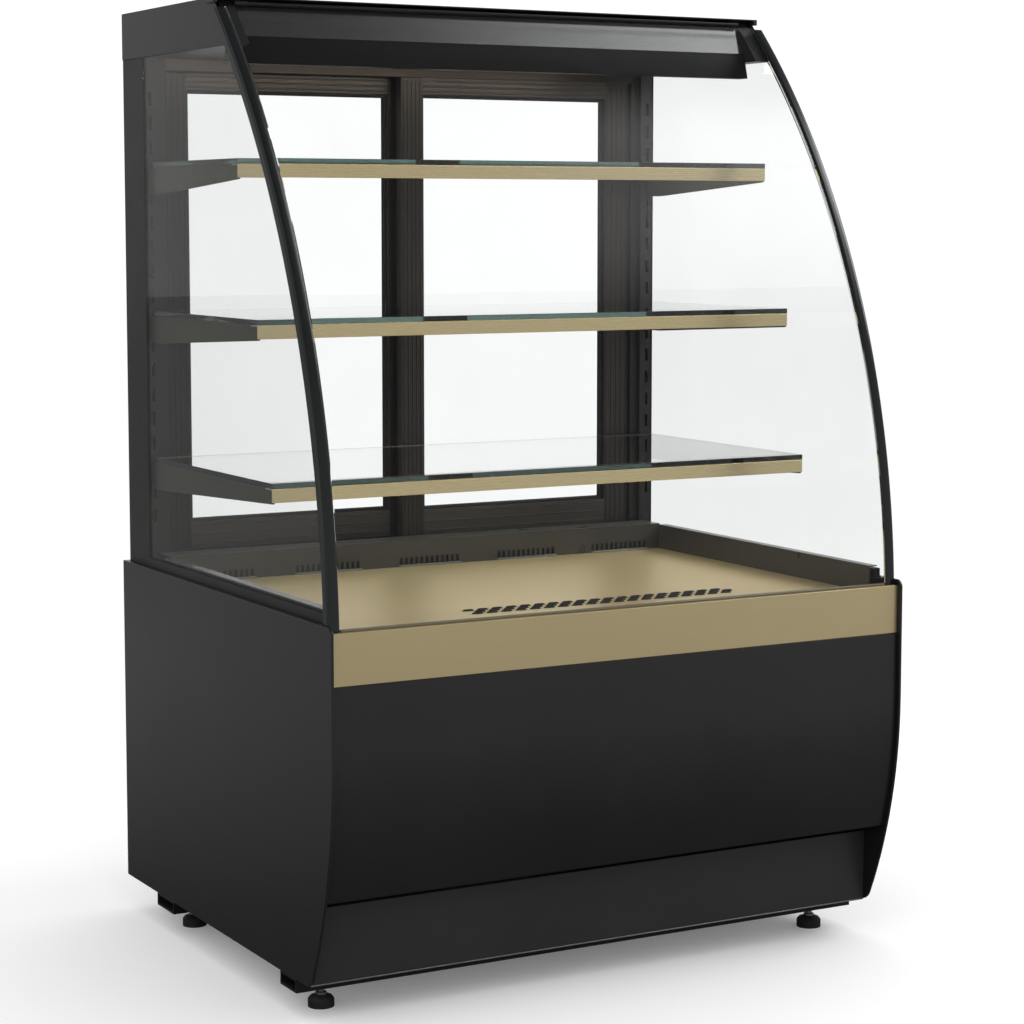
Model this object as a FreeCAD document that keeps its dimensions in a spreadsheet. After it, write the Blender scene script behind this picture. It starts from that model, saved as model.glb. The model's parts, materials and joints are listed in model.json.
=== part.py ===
"""Curved-front refrigerated glass display case with three shelves and rear sliding doors.

Frame: millimetres, +Z up, the customer's side faces -Y, X runs along the counter.
The origin is on the floor, under the middle of the case.
"""
import FreeCAD, Part
import math
import os
from types import SimpleNamespace

import Sketcher

doc = FreeCAD.newDocument("GlassDisplayCase")
Vector = FreeCAD.Vector

DRIVING_SIZES = {
    # whole case
    "width": 960, "depth": 792, "height": 1441, "slide_gap": 0.3, "running_gap": 0.08, "seam": 0.4,
    # lower cabinet
    "base_top": 571.3, "base_low": 54.3, "side_sheet": 4, "side_return": 22,
    "nose_radius": 780, "nose_start": 391, "corner_top": 12, "corner_low": 25,
    "reveal": 7, "sheet": 1.5, "sheet_return": 13.5,
    "band_drop": 8.5, "band_low": 489.4, "band_ledge": 22, "band_lip": 12,
    "panel_low": 183, "kick_top": 165, "kick_setback": 83, "kick_return": 18,
    "rail_high": 19.6, "rail_wall": 3, "front_rail_setback": 125, "front_rail_deep": 55,
    "rear_rail_setback": 132, "rear_rail_deep": 69,
    "foot_radius": 19, "foot_pad_high": 11, "foot_cone_top": 18, "foot_inset": 54, "nut_high": 7,
    "front_foot_setback": 159, "rear_foot_setback": 154, "stud_radius": 5,
    "pan_sheet": 2, "pan_lip": 24, "panel_sheet": 2, "rear_face_setback": 2,
    "louvre_wide": 300, "louvre_high": 7, "louvre_pitch": 18, "louvre_low": 100, "louvre_x": 215,
    # cold well
    "deck_drop": 13.8, "deck_side_setback": 32, "deck_front_setback": 44, "well_rear_setback": 146,
    "well_rise": 43, "wall_rise": 41, "tub_low": 345, "tub_wall": 30, "tub_rear_setback": 96,
    "drain_radius": 12, "drain_x": -300,
    "grille_shift": 40, "grille_pitch": 24, "grille_setback": 150, "grille_row": 15,
    "grille_wide": 14, "grille_deep": 6,
    "vent_pitch": 9.5, "vent_wide": 5, "vent_high": 12, "vent_rise": 3, "vent_group_pitch": 183,
    # glazed top
    "upper_inset": 11, "post_wide": 28, "jamb_wide": 15, "post_deep": 88, "post_wall": 2.5,
    "post_setback": 3, "slot_pitch": 38.5, "slot_high": 21, "slot_wide": 5, "first_slot_rise": 69.6,
    "glass": 6, "channel_high": 14, "channel_web": 3, "channel_lip": 2,
    "header_high": 72, "curve_setback": 14, "curve_drop": 54.8, "curve_reach": 388,
    "trim_wide": 15.7, "trim_leg": 5.1, "trim_deep": 20, "trim_front": 4, "trim_top_drop": 17,
    "glass_recess": 1, "hinge_drop": 9, "hinge_inset": 8, "hinge_radius": 6,
    "hinge_lip_wide": 25, "hinge_lip_sheet": 2.6, "pin_radius": 4, "pin_long": 20, "pin_stand_out": 2,
    "header_sheet": 2, "cheek_sheet": 1.2, "header_block": 23, "block_inset": 12, "block_deep": 48,
    "face_top_drop": 5, "face_drop": 58, "valance_drop": 98, "face_lean": 31, "valance_lean": 11,
    "valance_return": 24, "roof_lap": 5, "roof_side_deep": 30,
    "lamp_gap": 12, "lamp_deep": 30, "lamp_high": 12,
    # rear doors
    "track_front_gap": 7, "track_groove": 25, "track_rib": 4, "track_rib_high": 15.7,
    "door_thick": 20, "door_overlap": 30, "door_side_gap": 1, "door_lift": 3,
    "stile": 48, "meeting_stile": 40, "door_low_rail": 57.4, "door_top_rail": 40, "pane": 5,
    "pull_wide": 22, "pull_high": 120, "pull_z": 960, "pull_deep": 14, "pull_wall": 2,
    # shelves
    "shelf_rise": 173.7, "shelf_step": 231, "shelf_glass": 8, "shelf_side_setback": 22,
    "lower_shelf_setback": 236, "middle_shelf_setback": 282, "upper_shelf_setback": 348,
    "shelf_rear_gap": 15, "rail_front_high": 20, "rail_front_deep": 24, "rail_front_sheet": 2,
    "bracket_thick": 4, "bracket_front_high": 22, "bracket_rear_high": 40, "bracket_heel": 45,
    "hook_deep": 6.5, "hook_high": 14, "hook_rise": 2,
    # cooling unit
    "fan_radius": 78, "fan_hub": 24, "fan_deep": 26, "fan_gap": 4, "blade_rise": 16, "blade_thick": 2,
    "shaft_radius": 4, "shaft_long": 18, "plate": 3, "motor_radius": 26, "motor_long": 44,
    "carrier_half": 120, "coil_end": 14, "coil_deep": 50, "coil_tube": 6,
    "cond_fan_x": -215, "cond_fan_y": 150, "cond_fan_z": 180, "cond_coil_half": 130, "cond_coil_high": 230,
    "evap_fan_x": 0, "evap_fan_y": 90, "evap_fan_z": 455, "evap_coil_half": 300, "evap_coil_high": 120,
    "evap_coil_deep": 90,
    "comp_x": 200, "comp_y": 120, "comp_radius": 78, "comp_high": 170, "comp_crown": 38,
    "comp_foot_wide": 210, "comp_foot_deep": 120, "comp_foot_sheet": 6,
    "terminal_low": 60, "terminal_high": 55, "terminal_wide": 56, "terminal_reach": 24,
    "pipe_radius": 6, "pipe_bend": 30, "pipe_drop": 60, "pipe_across": 140, "pipe_gap": 1,
    # controls on the rear panel
    "module_x": 300, "module_z": 478, "module_wide": 190, "module_high": 64, "module_deep": 60,
    "module_wall": 3, "module_lap": 5, "module_face": 1.5, "rocker_seat": 8,
    "power_x": 40, "light_x": 66, "rocker_wide": 12, "rocker_high": 20, "rocker_tilt": 7,
    "gland_x": -400, "gland_z": 110, "gland_radius": 11, "gland_bore": 5, "gland_long": 12,
    "gland_flange": 4, "gland_lip": 1.6,
}


class Size:
    """A size with its value in millimetres and the sheet expression that gives it."""

    def __init__(self, value, text):
        self.value = float(value)
        self.text = text

    def __add__(self, other):
        other = as_size(other)
        return Size(self.value + other.value, "(%s + %s)" % (self.text, other.text))

    def __sub__(self, other):
        other = as_size(other)
        return Size(self.value - other.value, "(%s - %s)" % (self.text, other.text))

    def __mul__(self, other):
        other = as_size(other)
        return Size(self.value * other.value, "(%s * %s)" % (self.text, other.text))

    def __truediv__(self, other):
        other = as_size(other)
        return Size(self.value / other.value, "(%s / %s)" % (self.text, other.text))

    def __radd__(self, other):
        return as_size(other) + self

    def __rsub__(self, other):
        return as_size(other) - self

    def __rmul__(self, other):
        return as_size(other) * self

    def __neg__(self):
        return Size(-self.value, "(0 - %s)" % self.text)


def as_size(value):
    return value if isinstance(value, Size) else Size(value, repr(float(value)))


def root(size):
    return Size(math.sqrt(size.value), "sqrt(%s)" % size.text)


def make_sheet():
    """Put the driving sizes in the spreadsheet and hand them back as named sizes."""
    sheet = doc.addObject("Spreadsheet::Sheet", "Sizes")
    for row, (name, value) in enumerate(DRIVING_SIZES.items(), start=1):
        sheet.set("A%d" % row, name)
        sheet.set("B%d" % row, str(value))
        sheet.setAlias("B%d" % row, name)
    doc.recompute()
    return SimpleNamespace(**{name: Size(sheet.get(name), "Sizes." + name) for name in DRIVING_SIZES})


dim = make_sheet()
nodes = []


def keep(piece, label):
    """Register a finished sub-part under the name of its file."""
    piece.Label = label
    nodes.append(piece)
    return piece


def place(piece, x=0, y=0, z=0, rotation=None):
    corner = [as_size(value) for value in (x, y, z)]
    piece.Placement = FreeCAD.Placement(Vector(*[c.value for c in corner]), rotation or FreeCAD.Rotation())
    for axis, size in zip("xyz", corner):
        piece.setExpression("Placement.Base." + axis, size.text)


def bind(piece, **sizes):
    for name, size in sizes.items():
        size = as_size(size)
        setattr(piece, name, size.value)
        piece.setExpression(name, size.text)


# ---------------------------------------------------------------- primitives and booleans
ALONG = {
    "x": FreeCAD.Rotation(Vector(0, 1, 0), 90),
    "y": FreeCAD.Rotation(Vector(1, 0, 0), -90),
    "z": FreeCAD.Rotation(),
}


def box(name, x_span, y_span, z_span):
    piece = doc.addObject("Part::Box", name)
    spans = [[as_size(end) for end in span] for span in (x_span, y_span, z_span)]
    bind(piece, Length=spans[0][1] - spans[0][0], Width=spans[1][1] - spans[1][0],
         Height=spans[2][1] - spans[2][0])
    place(piece, *[span[0] for span in spans])
    return piece


def cylinder(name, radius, length, start, along="z"):
    piece = doc.addObject("Part::Cylinder", name)
    bind(piece, Radius=radius, Height=length)
    place(piece, *start, rotation=ALONG[along])
    return piece


def fuse(name, *pieces):
    result = doc.addObject("Part::MultiFuse", name)
    result.Shapes = list(pieces)
    return result


def cut(name, base, *tools):
    result = doc.addObject("Part::Cut", name)
    result.Base = base
    result.Tool = tools[0] if len(tools) == 1 else fuse(name + "_tools", *tools)
    return result


def group(name, *pieces):
    result = doc.addObject("Part::Compound", name)
    result.Links = list(pieces)
    return result


# ---------------------------------------------------------------- bodies made from sketches
def new_body(label):
    return keep(doc.addObject("PartDesign::Body", label), label)


PLANES = {"x": "YZ_Plane", "y": "XZ_Plane", "z": "XY_Plane"}


def sketch_at(body, axis, level):
    """A sketch square to an axis. On y the sketch looks along -Y, so its level is turned round."""
    plane = next(item for item in body.Origin.OriginFeatures if item.Role == PLANES[axis])
    sketch = body.newObject("Sketcher::SketchObject", body.Name + "_outline")
    sketch.AttachmentSupport = [(plane, "")]
    sketch.MapMode = "FlatFace"
    offset = -as_size(level) if axis == "y" else as_size(level)
    sketch.AttachmentOffset = FreeCAD.Placement(Vector(0, 0, offset.value), FreeCAD.Rotation())
    sketch.setExpression("AttachmentOffset.Base.z", offset.text)
    return sketch


def tie(sketch, constraint, size):
    index = sketch.addConstraint(constraint)
    sketch.setExpression("Constraints[%d]" % index, size.text)


def tie_point(sketch, geometry, point, first, second):
    first, second = as_size(first), as_size(second)
    tie(sketch, Sketcher.Constraint("DistanceX", -1, 1, geometry, point, first.value), first)
    tie(sketch, Sketcher.Constraint("DistanceY", -1, 1, geometry, point, second.value), second)


def arc_between(start, end, centre):
    """An arc of less than half a turn, and whether it runs anticlockwise from start to end."""
    turns_left = (start - centre).cross(end - centre).z > 0
    first, last = (start, end) if turns_left else (end, start)
    radius = (first - centre).Length
    angles = [math.atan2((p - centre).y, (p - centre).x) for p in (first, last)]
    if angles[1] < angles[0]:
        angles[1] += 2 * math.pi
    circle = Part.Circle(centre, Vector(0, 0, 1), radius)
    return Part.ArcOfCircle(circle, angles[0], angles[1]), turns_left


def add_outline(sketch, corners):
    """A closed outline. A corner is (first, second) or (first, second, (centre, radius)),
    where the last form starts an arc to the next corner."""
    points = [Vector(as_size(c[0]).value, as_size(c[1]).value, 0) for c in corners]
    ends = []
    for index, corner in enumerate(corners):
        start, end = points[index], points[(index + 1) % len(points)]
        if len(corner) == 2:
            ends.append((sketch.addGeometry(Part.LineSegment(start, end), False), 1, 2))
            continue
        centre, radius = corner[2]
        middle = Vector(as_size(centre[0]).value, as_size(centre[1]).value, 0)
        arc, turns_left = arc_between(start, end, middle)
        ends.append((sketch.addGeometry(arc, False),) + ((1, 2) if turns_left else (2, 1)))
    for index, (geometry, first, last) in enumerate(ends):
        following = ends[(index + 1) % len(ends)]
        sketch.addConstraint(Sketcher.Constraint("Coincident", geometry, last, following[0], following[1]))
        tie_point(sketch, geometry, first, corners[index][0], corners[index][1])
        if len(corners[index]) == 3:
            radius = as_size(corners[index][2][1])
            tie(sketch, Sketcher.Constraint("Radius", geometry, radius.value), radius)


def add_circle(sketch, centre, radius):
    middle = [as_size(value) for value in centre]
    radius = as_size(radius)
    circle = Part.Circle(Vector(middle[0].value, middle[1].value, 0), Vector(0, 0, 1), radius.value)
    geometry = sketch.addGeometry(circle, False)
    tie_point(sketch, geometry, 3, *middle)
    tie(sketch, Sketcher.Constraint("Radius", geometry, radius.value), radius)


def pad(body, axis, span, *outlines, circles=()):
    """Material over a span of one axis, from outlines drawn square to it."""
    low, high = [as_size(end) for end in span]
    sketch = sketch_at(body, axis, high if axis == "y" else low)
    for outline in outlines:
        add_outline(sketch, outline)
    for centre, radius in circles:
        add_circle(sketch, centre, radius)
    feature = body.newObject("PartDesign::Pad", body.Name + "_pad")
    feature.Profile = sketch
    bind(feature, Length=high - low)
    return feature


def pocket(body, axis, span, *outlines, circles=()):
    """A cut over a span of one axis, which has to take something away."""
    doc.recompute()
    volume = body.Shape.Volume
    low, high = [as_size(end) for end in span]
    sketch = sketch_at(body, axis, low if axis == "y" else high)
    for outline in outlines:
        add_outline(sketch, outline)
    for centre, radius in circles:
        add_circle(sketch, centre, radius)
    feature = body.newObject("PartDesign::Pocket", body.Name + "_cut")
    feature.Profile = sketch
    bind(feature, Length=high - low)
    doc.recompute()
    if body.Shape.Volume >= volume:
        raise ValueError("a cut takes nothing from " + body.Label)
    return feature


def rectangle(first_span, second_span):
    return [(first_span[0], second_span[0]), (first_span[1], second_span[0]),
            (first_span[1], second_span[1]), (first_span[0], second_span[1])]


def repeat(body, feature, axis, length, count):
    """Repeat a cut along one of the body's own axes."""
    line = next(item for item in body.Origin.OriginFeatures if item.Role == axis + "_Axis")
    pattern = body.newObject("PartDesign::LinearPattern", body.Name + "_row")
    pattern.Originals = [feature]
    pattern.Direction = (line, [""])
    pattern.Occurrences = count
    bind(pattern, Length=length)
    body.Tip = pattern
    return pattern


def round_corners(body, feature, corners, radius):
    """Round the edges that run along X through the given (y, z) corners."""
    doc.recompute()
    names = []
    for number, edge in enumerate(feature.Shape.Edges, start=1):
        for y, z in corners:
            near = [math.hypot(v.Y - as_size(y).value, v.Z - as_size(z).value) < 0.01 for v in edge.Vertexes]
            if len(near) == 2 and all(near):
                names.append("Edge%d" % number)
    if len(names) != len(corners):
        raise ValueError("rounded corners not found on " + body.Label)
    fillet = body.newObject("PartDesign::Fillet", body.Name + "_round")
    fillet.Base = (feature, names)
    bind(fillet, Radius=radius)
    return fillet


SIDES = {"left": -1, "right": 1}


def on_side(side, inner, outer):
    """A span along X, given from the middle outwards, on one side of the case."""
    return (inner, outer) if side > 0 else (-as_size(outer), -as_size(inner))


# ---------------------------------------------------------------- shared levels and planes
half = dim.width / 2
front = -(dim.depth / 2)
rear = dim.depth / 2
inner_side = half - dim.side_sheet
face = front + dim.reveal
header_low = dim.height - dim.header_high
band_top = dim.base_top - dim.band_drop
deck_top = band_top - dim.deck_drop
cabinet_floor = dim.base_low + dim.pan_sheet

curve_front = front + dim.curve_setback
curve_start = dim.base_top - dim.curve_drop
curve_rise = dim.height - curve_start
curve_radius = (dim.curve_reach * dim.curve_reach + curve_rise * curve_rise) / (2 * dim.curve_reach)
curve_centre = (curve_front + curve_radius, curve_start)

upper_half = half - dim.upper_inset
glass_inner = upper_half - dim.glass
post_inner = upper_half - dim.post_wide
post_rear = rear - dim.post_setback
post_front = post_rear - dim.post_deep
jamb_inner = post_inner - dim.jamb_wide
slot_middle = upper_half - dim.post_wide / 2
first_slot = dim.base_top + dim.first_slot_rise

trim_outer = inner_side - dim.slide_gap
trim_inner = trim_outer - dim.trim_wide
trim_top = dim.height - dim.trim_top_drop
glass_back = dim.glass_recess + dim.glass
glass_stand = band_top + dim.slide_gap


def curve_y(inset, level):
    """Y of the front curve, set in by a radial distance, at a level."""
    radius = curve_radius - inset
    rise = level - curve_start
    return curve_centre[0] - root(radius * radius - rise * rise)


def curved_strip(outer, inner, low, high):
    """Outline between two insets of the front curve, from a low level to a high one."""
    return [
        (curve_y(outer, high), high, (curve_centre, curve_radius - outer)),
        (curve_y(outer, low), low),
        (curve_y(inner, low), low, (curve_centre, curve_radius - inner)),
        (curve_y(inner, high), high),
    ]


# ---------------------------------------------------------------- lower cabinet
nose_centre = (front + dim.nose_radius, dim.nose_start)


def nose_y(inset, level):
    """Y of the cabinet's swept-in front, set in by a radial distance, at a level."""
    radius = dim.nose_radius - inset
    fall = dim.nose_start - level
    return nose_centre[0] - root(radius * radius - fall * fall)


def make_side_panel(name, side):
    """Painted sheet pan: a face with the nose profile, and returns at the top, rear and bottom."""
    body = new_body(name + "_side_panel")
    skin = pad(body, "x", on_side(side, inner_side, half), [
        (rear, dim.base_low), (rear, dim.base_top), (front, dim.base_top),
        (front, dim.nose_start, (nose_centre, dim.nose_radius)),
        (nose_y(0, dim.base_low), dim.base_low)])
    round_corners(body, skin, [(front, dim.base_top)], dim.corner_top)
    doc.recompute()
    round_corners(body, body.Tip, [(nose_y(0, dim.base_low), dim.base_low)], dim.corner_low)
    returns = on_side(side, half - dim.side_return, inner_side)
    flange_front = front + dim.deck_front_setback - dim.side_sheet
    pad(body, "x", returns, rectangle((flange_front, rear), (dim.base_top - dim.side_sheet, dim.base_top)))
    pad(body, "x", returns, rectangle((rear - dim.side_sheet, rear), (dim.base_low, dim.base_top)))
    return body


def make_front_panel():
    """Curved glossy sheet below the band, with a return along its top and bottom."""
    body = new_body("front_panel")
    top, low, sheet = dim.band_low - dim.seam, dim.panel_low, dim.sheet
    inset = dim.reveal + sheet
    return_deep = dim.sheet_return
    pad(body, "x", (-inner_side, inner_side), [
        (face, top), (face, dim.nose_start, (nose_centre, dim.nose_radius - dim.reveal)),
        (nose_y(dim.reveal, low), low), (nose_y(inset, low) + return_deep, low),
        (nose_y(inset, low) + return_deep, low + sheet),
        (nose_y(inset, low + sheet), low + sheet, (nose_centre, dim.nose_radius - inset)),
        (face + sheet, dim.nose_start), (face + sheet, top - sheet),
        (face + return_deep, top - sheet), (face + return_deep, top)])


def make_front_band():
    """Champagne band with a flat ledge along its top, where the front glass stands."""
    body = new_body("front_band")
    sheet, ledge = dim.sheet, face + dim.band_ledge
    top, low = band_top, dim.band_low
    lip_low = top - dim.band_lip
    return_rear = face + dim.sheet_return
    pad(body, "x", (-inner_side, inner_side), [
        (face, low), (face, top), (ledge, top), (ledge, lip_low), (ledge - sheet, lip_low),
        (ledge - sheet, top - sheet), (face + sheet, top - sheet), (face + sheet, low + sheet),
        (return_rear, low + sheet), (return_rear, low)])


def make_kick_plate():
    body = new_body("kick_plate")
    sheet, kick = dim.sheet, front + dim.kick_setback
    return_rear = kick + dim.kick_return
    pad(body, "x", (-inner_side, inner_side), [
        (kick, cabinet_floor), (kick, dim.kick_top), (return_rear, dim.kick_top),
        (return_rear, dim.kick_top - sheet), (kick + sheet, dim.kick_top - sheet),
        (kick + sheet, cabinet_floor)])


def foot_places():
    across = half - dim.foot_inset
    for end, y in (("front", front + dim.front_foot_setback), ("rear", rear - dim.rear_foot_setback)):
        for name, side in SIDES.items():
            yield end, name, side * across, y


def make_base_rail(end, y_span):
    """Box-section cross rail with a threaded boss over each of its two feet."""
    low, high, wall = dim.base_low - dim.rail_high, dim.base_low, dim.rail_wall
    name = end + "_rail"
    tube = cut(name + "_tube", box(name + "_outer", (-half, half), y_span, (low, high)),
               box(name + "_hollow", (-half, half), (y_span[0] + wall, y_span[1] - wall),
                   (low + wall, high - wall)))
    places = [(x, y) for place_end, _, x, y in foot_places() if place_end == end]
    bosses = [cylinder("%s_boss_%d" % (name, n), 2 * dim.stud_radius, high - low - wall, (x, y, low))
              for n, (x, y) in enumerate(places)]
    bores = [cylinder("%s_bore_%d" % (name, n), dim.stud_radius + dim.running_gap,
                      high - low - wall, (x, y, low)) for n, (x, y) in enumerate(places)]
    keep(cut(name + "_body", fuse(name + "_blank", tube, *bosses), *bores), name)


def make_foot(label, x, y):
    """Levelling foot: rubber pad, neck, lock nut and stud, turned about its own axis."""
    body = new_body(label)
    pad_radius, stud = dim.foot_radius, dim.stud_radius
    pad_high, cone_top = dim.foot_pad_high, dim.foot_cone_top
    nut_top, neck = dim.base_low - dim.rail_high - dim.slide_gap, stud + 3
    nut_low, stud_top = nut_top - dim.nut_high, dim.base_low - dim.rail_wall - 2
    profile = [(0, 0), (pad_radius, 0), (pad_radius, pad_high), (pad_radius - 3, pad_high + 4),
               (neck, cone_top), (neck, cone_top + 3), (stud, cone_top + 4), (stud, nut_low),
               (neck + 1, nut_low), (neck + 1, nut_top), (stud, nut_top), (stud, stud_top), (0, stud_top)]
    sketch = sketch_at(body, "y", 0)
    add_outline(sketch, profile)
    turned = body.newObject("PartDesign::Revolution", body.Name + "_turned")
    turned.Profile = sketch
    turned.ReferenceAxis = (sketch, ["V_Axis"])
    turned.Angle = 360
    place(body, x, y, 0)


def make_base_pan():
    body = new_body("base_pan")
    low, sheet = dim.base_low, dim.pan_sheet
    pan_front, pan_rear = front + dim.kick_setback, rear - dim.side_sheet - sheet
    pad(body, "x", (-inner_side, inner_side), [
        (pan_front, low), (pan_rear, low), (pan_rear, low + dim.pan_lip),
        (pan_rear - sheet, low + dim.pan_lip), (pan_rear - sheet, cabinet_floor),
        (pan_front, cabinet_floor)])


rear_panel_half = half - dim.side_return - dim.seam
rear_face = rear - dim.rear_face_setback


def make_rear_panel():
    """Service panel with a ledge under the posts, two rows of louvre slots and a control cut-out."""
    body = new_body("rear_panel")
    sheet, top = dim.panel_sheet, dim.base_top
    skin = (rear_face - sheet, rear_face)
    pad(body, "x", (-rear_panel_half, rear_panel_half), [
        (rear_face, cabinet_floor), (rear_face, top), (post_front, top), (post_front, top - sheet),
        (rear_face - sheet, top - sheet), (rear_face - sheet, cabinet_floor)])
    pocket(body, "y", skin, rectangle(*module_spans(0)))
    slot_count = 11
    for side in SIDES.values():
        louvre = pocket(body, "y", skin, rectangle(
            (side * dim.louvre_x - dim.louvre_wide / 2, side * dim.louvre_x + dim.louvre_wide / 2),
            (dim.louvre_low, dim.louvre_low + dim.louvre_high)))
        repeat(body, louvre, "Z", dim.louvre_pitch * (slot_count - 1), slot_count)
    pocket(body, "y", skin, circles=[((dim.gland_x, dim.gland_z), dim.gland_radius)])


def module_spans(growth):
    """X and Z spans of the control cut-out, grown by a margin all round."""
    half_wide, half_high = dim.module_wide / 2 + growth, dim.module_high / 2 + growth
    return ((dim.module_x - half_wide, dim.module_x + half_wide),
            (dim.module_z - half_high, dim.module_z + half_high))


# ---------------------------------------------------------------- cold well
deck_front = front + dim.deck_front_setback
deck_half = half - dim.deck_side_setback
well_rear = rear - dim.well_rear_setback
well_top = deck_top + dim.well_rise
wall_top = deck_top + dim.wall_rise
tub_rear = rear - dim.tub_rear_setback


def make_tub():
    """Foamed tub that holds the evaporator, open at the top under the deck."""
    rim = deck_top - dim.sheet
    wall = dim.tub_wall
    blank = box("tub_blank", (-inner_side, inner_side), (deck_front, tub_rear), (dim.tub_low, rim))
    hollow = box("tub_hollow", (wall - inner_side, inner_side - wall), (deck_front + wall, tub_rear - wall),
                 (dim.tub_low + wall, rim))
    drain = cylinder("tub_drain", dim.drain_radius, wall, (dim.drain_x, 0, dim.tub_low))
    keep(cut("tub_body", blank, hollow, drain), "insulated_tub")


def make_deck_tray():
    """Display deck with a sloped front edge and three staggered rows of air-return slots."""
    body = new_body("deck_tray")
    sheet, top = dim.sheet, deck_top
    lip_front = face + dim.band_ledge + dim.slide_gap
    pad(body, "x", (-deck_half, deck_half), [
        (well_rear, top - sheet), (well_rear, top), (deck_front + sheet, top),
        (lip_front + 2 * sheet, band_top), (lip_front, band_top), (lip_front, band_top - sheet),
        (lip_front + sheet, band_top - sheet), (deck_front, top - sheet)])
    per_row = 19
    reach = dim.grille_pitch * (per_row - 1)
    for row in range(3):
        shift = dim.grille_pitch / 2 * (row % 2)
        start = dim.grille_shift - reach / 2 + shift - dim.grille_pitch / 4
        y = front + dim.grille_setback + row * dim.grille_row
        hole = pocket(body, "z", (top - sheet, top), rectangle(
            (start - dim.grille_wide / 2, start + dim.grille_wide / 2),
            (y - dim.grille_deep / 2, y + dim.grille_deep / 2)))
        repeat(body, hole, "X", reach, per_row)


def make_well_surround():
    """Dark liner round the deck: two side walls, a rear wall with air slots and a rear ledge."""
    body = new_body("well_surround")
    sheet = dim.sheet
    low = deck_top - sheet
    wall_outer, ledge_rear = deck_half + sheet, post_front - dim.slide_gap
    pad(body, "x", (-wall_outer, wall_outer), [
        (well_rear, low), (well_rear + sheet, low), (well_rear + sheet, well_top - sheet),
        (ledge_rear, well_top - sheet), (ledge_rear, well_top), (well_rear, well_top)])
    ledge_outer = glass_inner - dim.slide_gap
    for side in SIDES.values():
        pad(body, "y", (deck_front, well_rear), [
            (side * deck_half, low), (side * wall_outer, low), (side * wall_outer, wall_top - sheet),
            (side * ledge_outer, wall_top - sheet), (side * ledge_outer, wall_top),
            (side * deck_half, wall_top)])
    per_group, groups = 12, 5
    reach = dim.vent_pitch * (per_group - 1)
    for number in range(groups):
        start = (number - (groups - 1) / 2) * dim.vent_group_pitch - reach / 2
        slot = pocket(body, "y", (well_rear, well_rear + sheet), rectangle(
            (start - dim.vent_wide / 2, start + dim.vent_wide / 2),
            (deck_top + dim.vent_rise, deck_top + dim.vent_rise + dim.vent_high)))
        repeat(body, slot, "X", reach, per_group)


# ---------------------------------------------------------------- glazed top
def make_post(name, side):
    """Rear corner post and door jamb in one folded section, slotted for the shelf brackets."""
    body = new_body(name + "_post")
    wall, shoulder = dim.post_wall, post_front + dim.track_front_gap
    span = (dim.base_top, header_low)
    outer = [(post_inner, post_front), (upper_half, post_front), (upper_half, post_rear),
             (jamb_inner, post_rear), (jamb_inner, shoulder), (post_inner, shoulder)]
    hollow = [(post_inner + wall, post_front + wall), (upper_half - wall, post_front + wall),
              (upper_half - wall, post_rear - wall), (jamb_inner + wall, post_rear - wall),
              (jamb_inner + wall, shoulder + wall), (post_inner + wall, shoulder + wall)]
    pad(body, "z", span, [(side * x, y) for x, y in outer], [(side * x, y) for x, y in hollow])
    count = int((header_low.value - first_slot.value - dim.slot_high.value) / dim.slot_pitch.value)
    slot = pocket(body, "y", (post_front, post_front + wall), rectangle(
        on_side(side, slot_middle - dim.slot_wide / 2, slot_middle + dim.slot_wide / 2),
        (first_slot, first_slot + dim.slot_high)))
    repeat(body, slot, "Z", dim.slot_pitch * (count - 1), count)


def make_glass_channel(name, side):
    body = new_body(name + "_glass_channel")
    low, top = dim.base_top, dim.base_top + dim.channel_high
    floor, lip = low + dim.channel_web, dim.channel_lip
    outline = [(glass_inner - 3 * lip, low), (upper_half + lip, low), (upper_half + lip, top),
               (upper_half, top), (upper_half, floor), (glass_inner, floor), (glass_inner, top),
               (glass_inner - 3 * lip, top)]
    pad(body, "y", (deck_front, post_front), [(side * x, z) for x, z in outline])


def make_side_glass(name, side):
    body = new_body(name + "_side_glass")
    low, top = dim.base_top + dim.channel_web, header_low + dim.channel_high
    inset = dim.trim_front + 2
    pad(body, "x", on_side(side, glass_inner, upper_half), [
        (post_front, top), (curve_y(inset, top), top, (curve_centre, curve_radius - inset)),
        (curve_y(inset, low), low), (post_front, low)])


hinge_z = dim.height - dim.hinge_drop
hinge_y = curve_y(dim.hinge_inset, hinge_z)
rail_half = glass_inner - dim.header_block - dim.pin_stand_out


def make_trim(name, side):
    """Curved edge trim of the front glass: a front face and a leg that laps the side glass."""
    body = new_body(name + "_glass_trim")
    pad(body, "x", on_side(side, trim_inner, trim_outer),
        curved_strip(0, dim.trim_front, glass_stand, trim_top))
    pad(body, "x", on_side(side, trim_outer - dim.trim_leg, trim_outer),
        curved_strip(dim.trim_front, dim.trim_deep, glass_stand, trim_top))


def make_front_glass():
    body = new_body("front_glass")
    edge = trim_inner - dim.slide_gap
    pad(body, "x", (-edge, edge), curved_strip(
        dim.glass_recess, glass_back, glass_stand, hinge_z - dim.hinge_radius))


def make_hinge_rail():
    """Hinge bar bonded behind the top edge of the front glass, bored at each end for its pins."""
    body = new_body("glass_hinge_rail")
    lip_outer = glass_back + 0.2
    lip_top = hinge_z - dim.pin_radius / 2
    pad(body, "x", (-rail_half, rail_half), curved_strip(
        lip_outer, lip_outer + dim.hinge_lip_sheet, lip_top - dim.hinge_lip_wide, lip_top))
    pad(body, "x", (-rail_half, rail_half), circles=[((hinge_y, hinge_z), dim.hinge_radius)])
    bore = [((hinge_y, hinge_z), dim.pin_radius + dim.running_gap)]
    for side in SIDES.values():
        pocket(body, "x", on_side(side, rail_half - dim.pin_long, rail_half), circles=bore)


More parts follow.
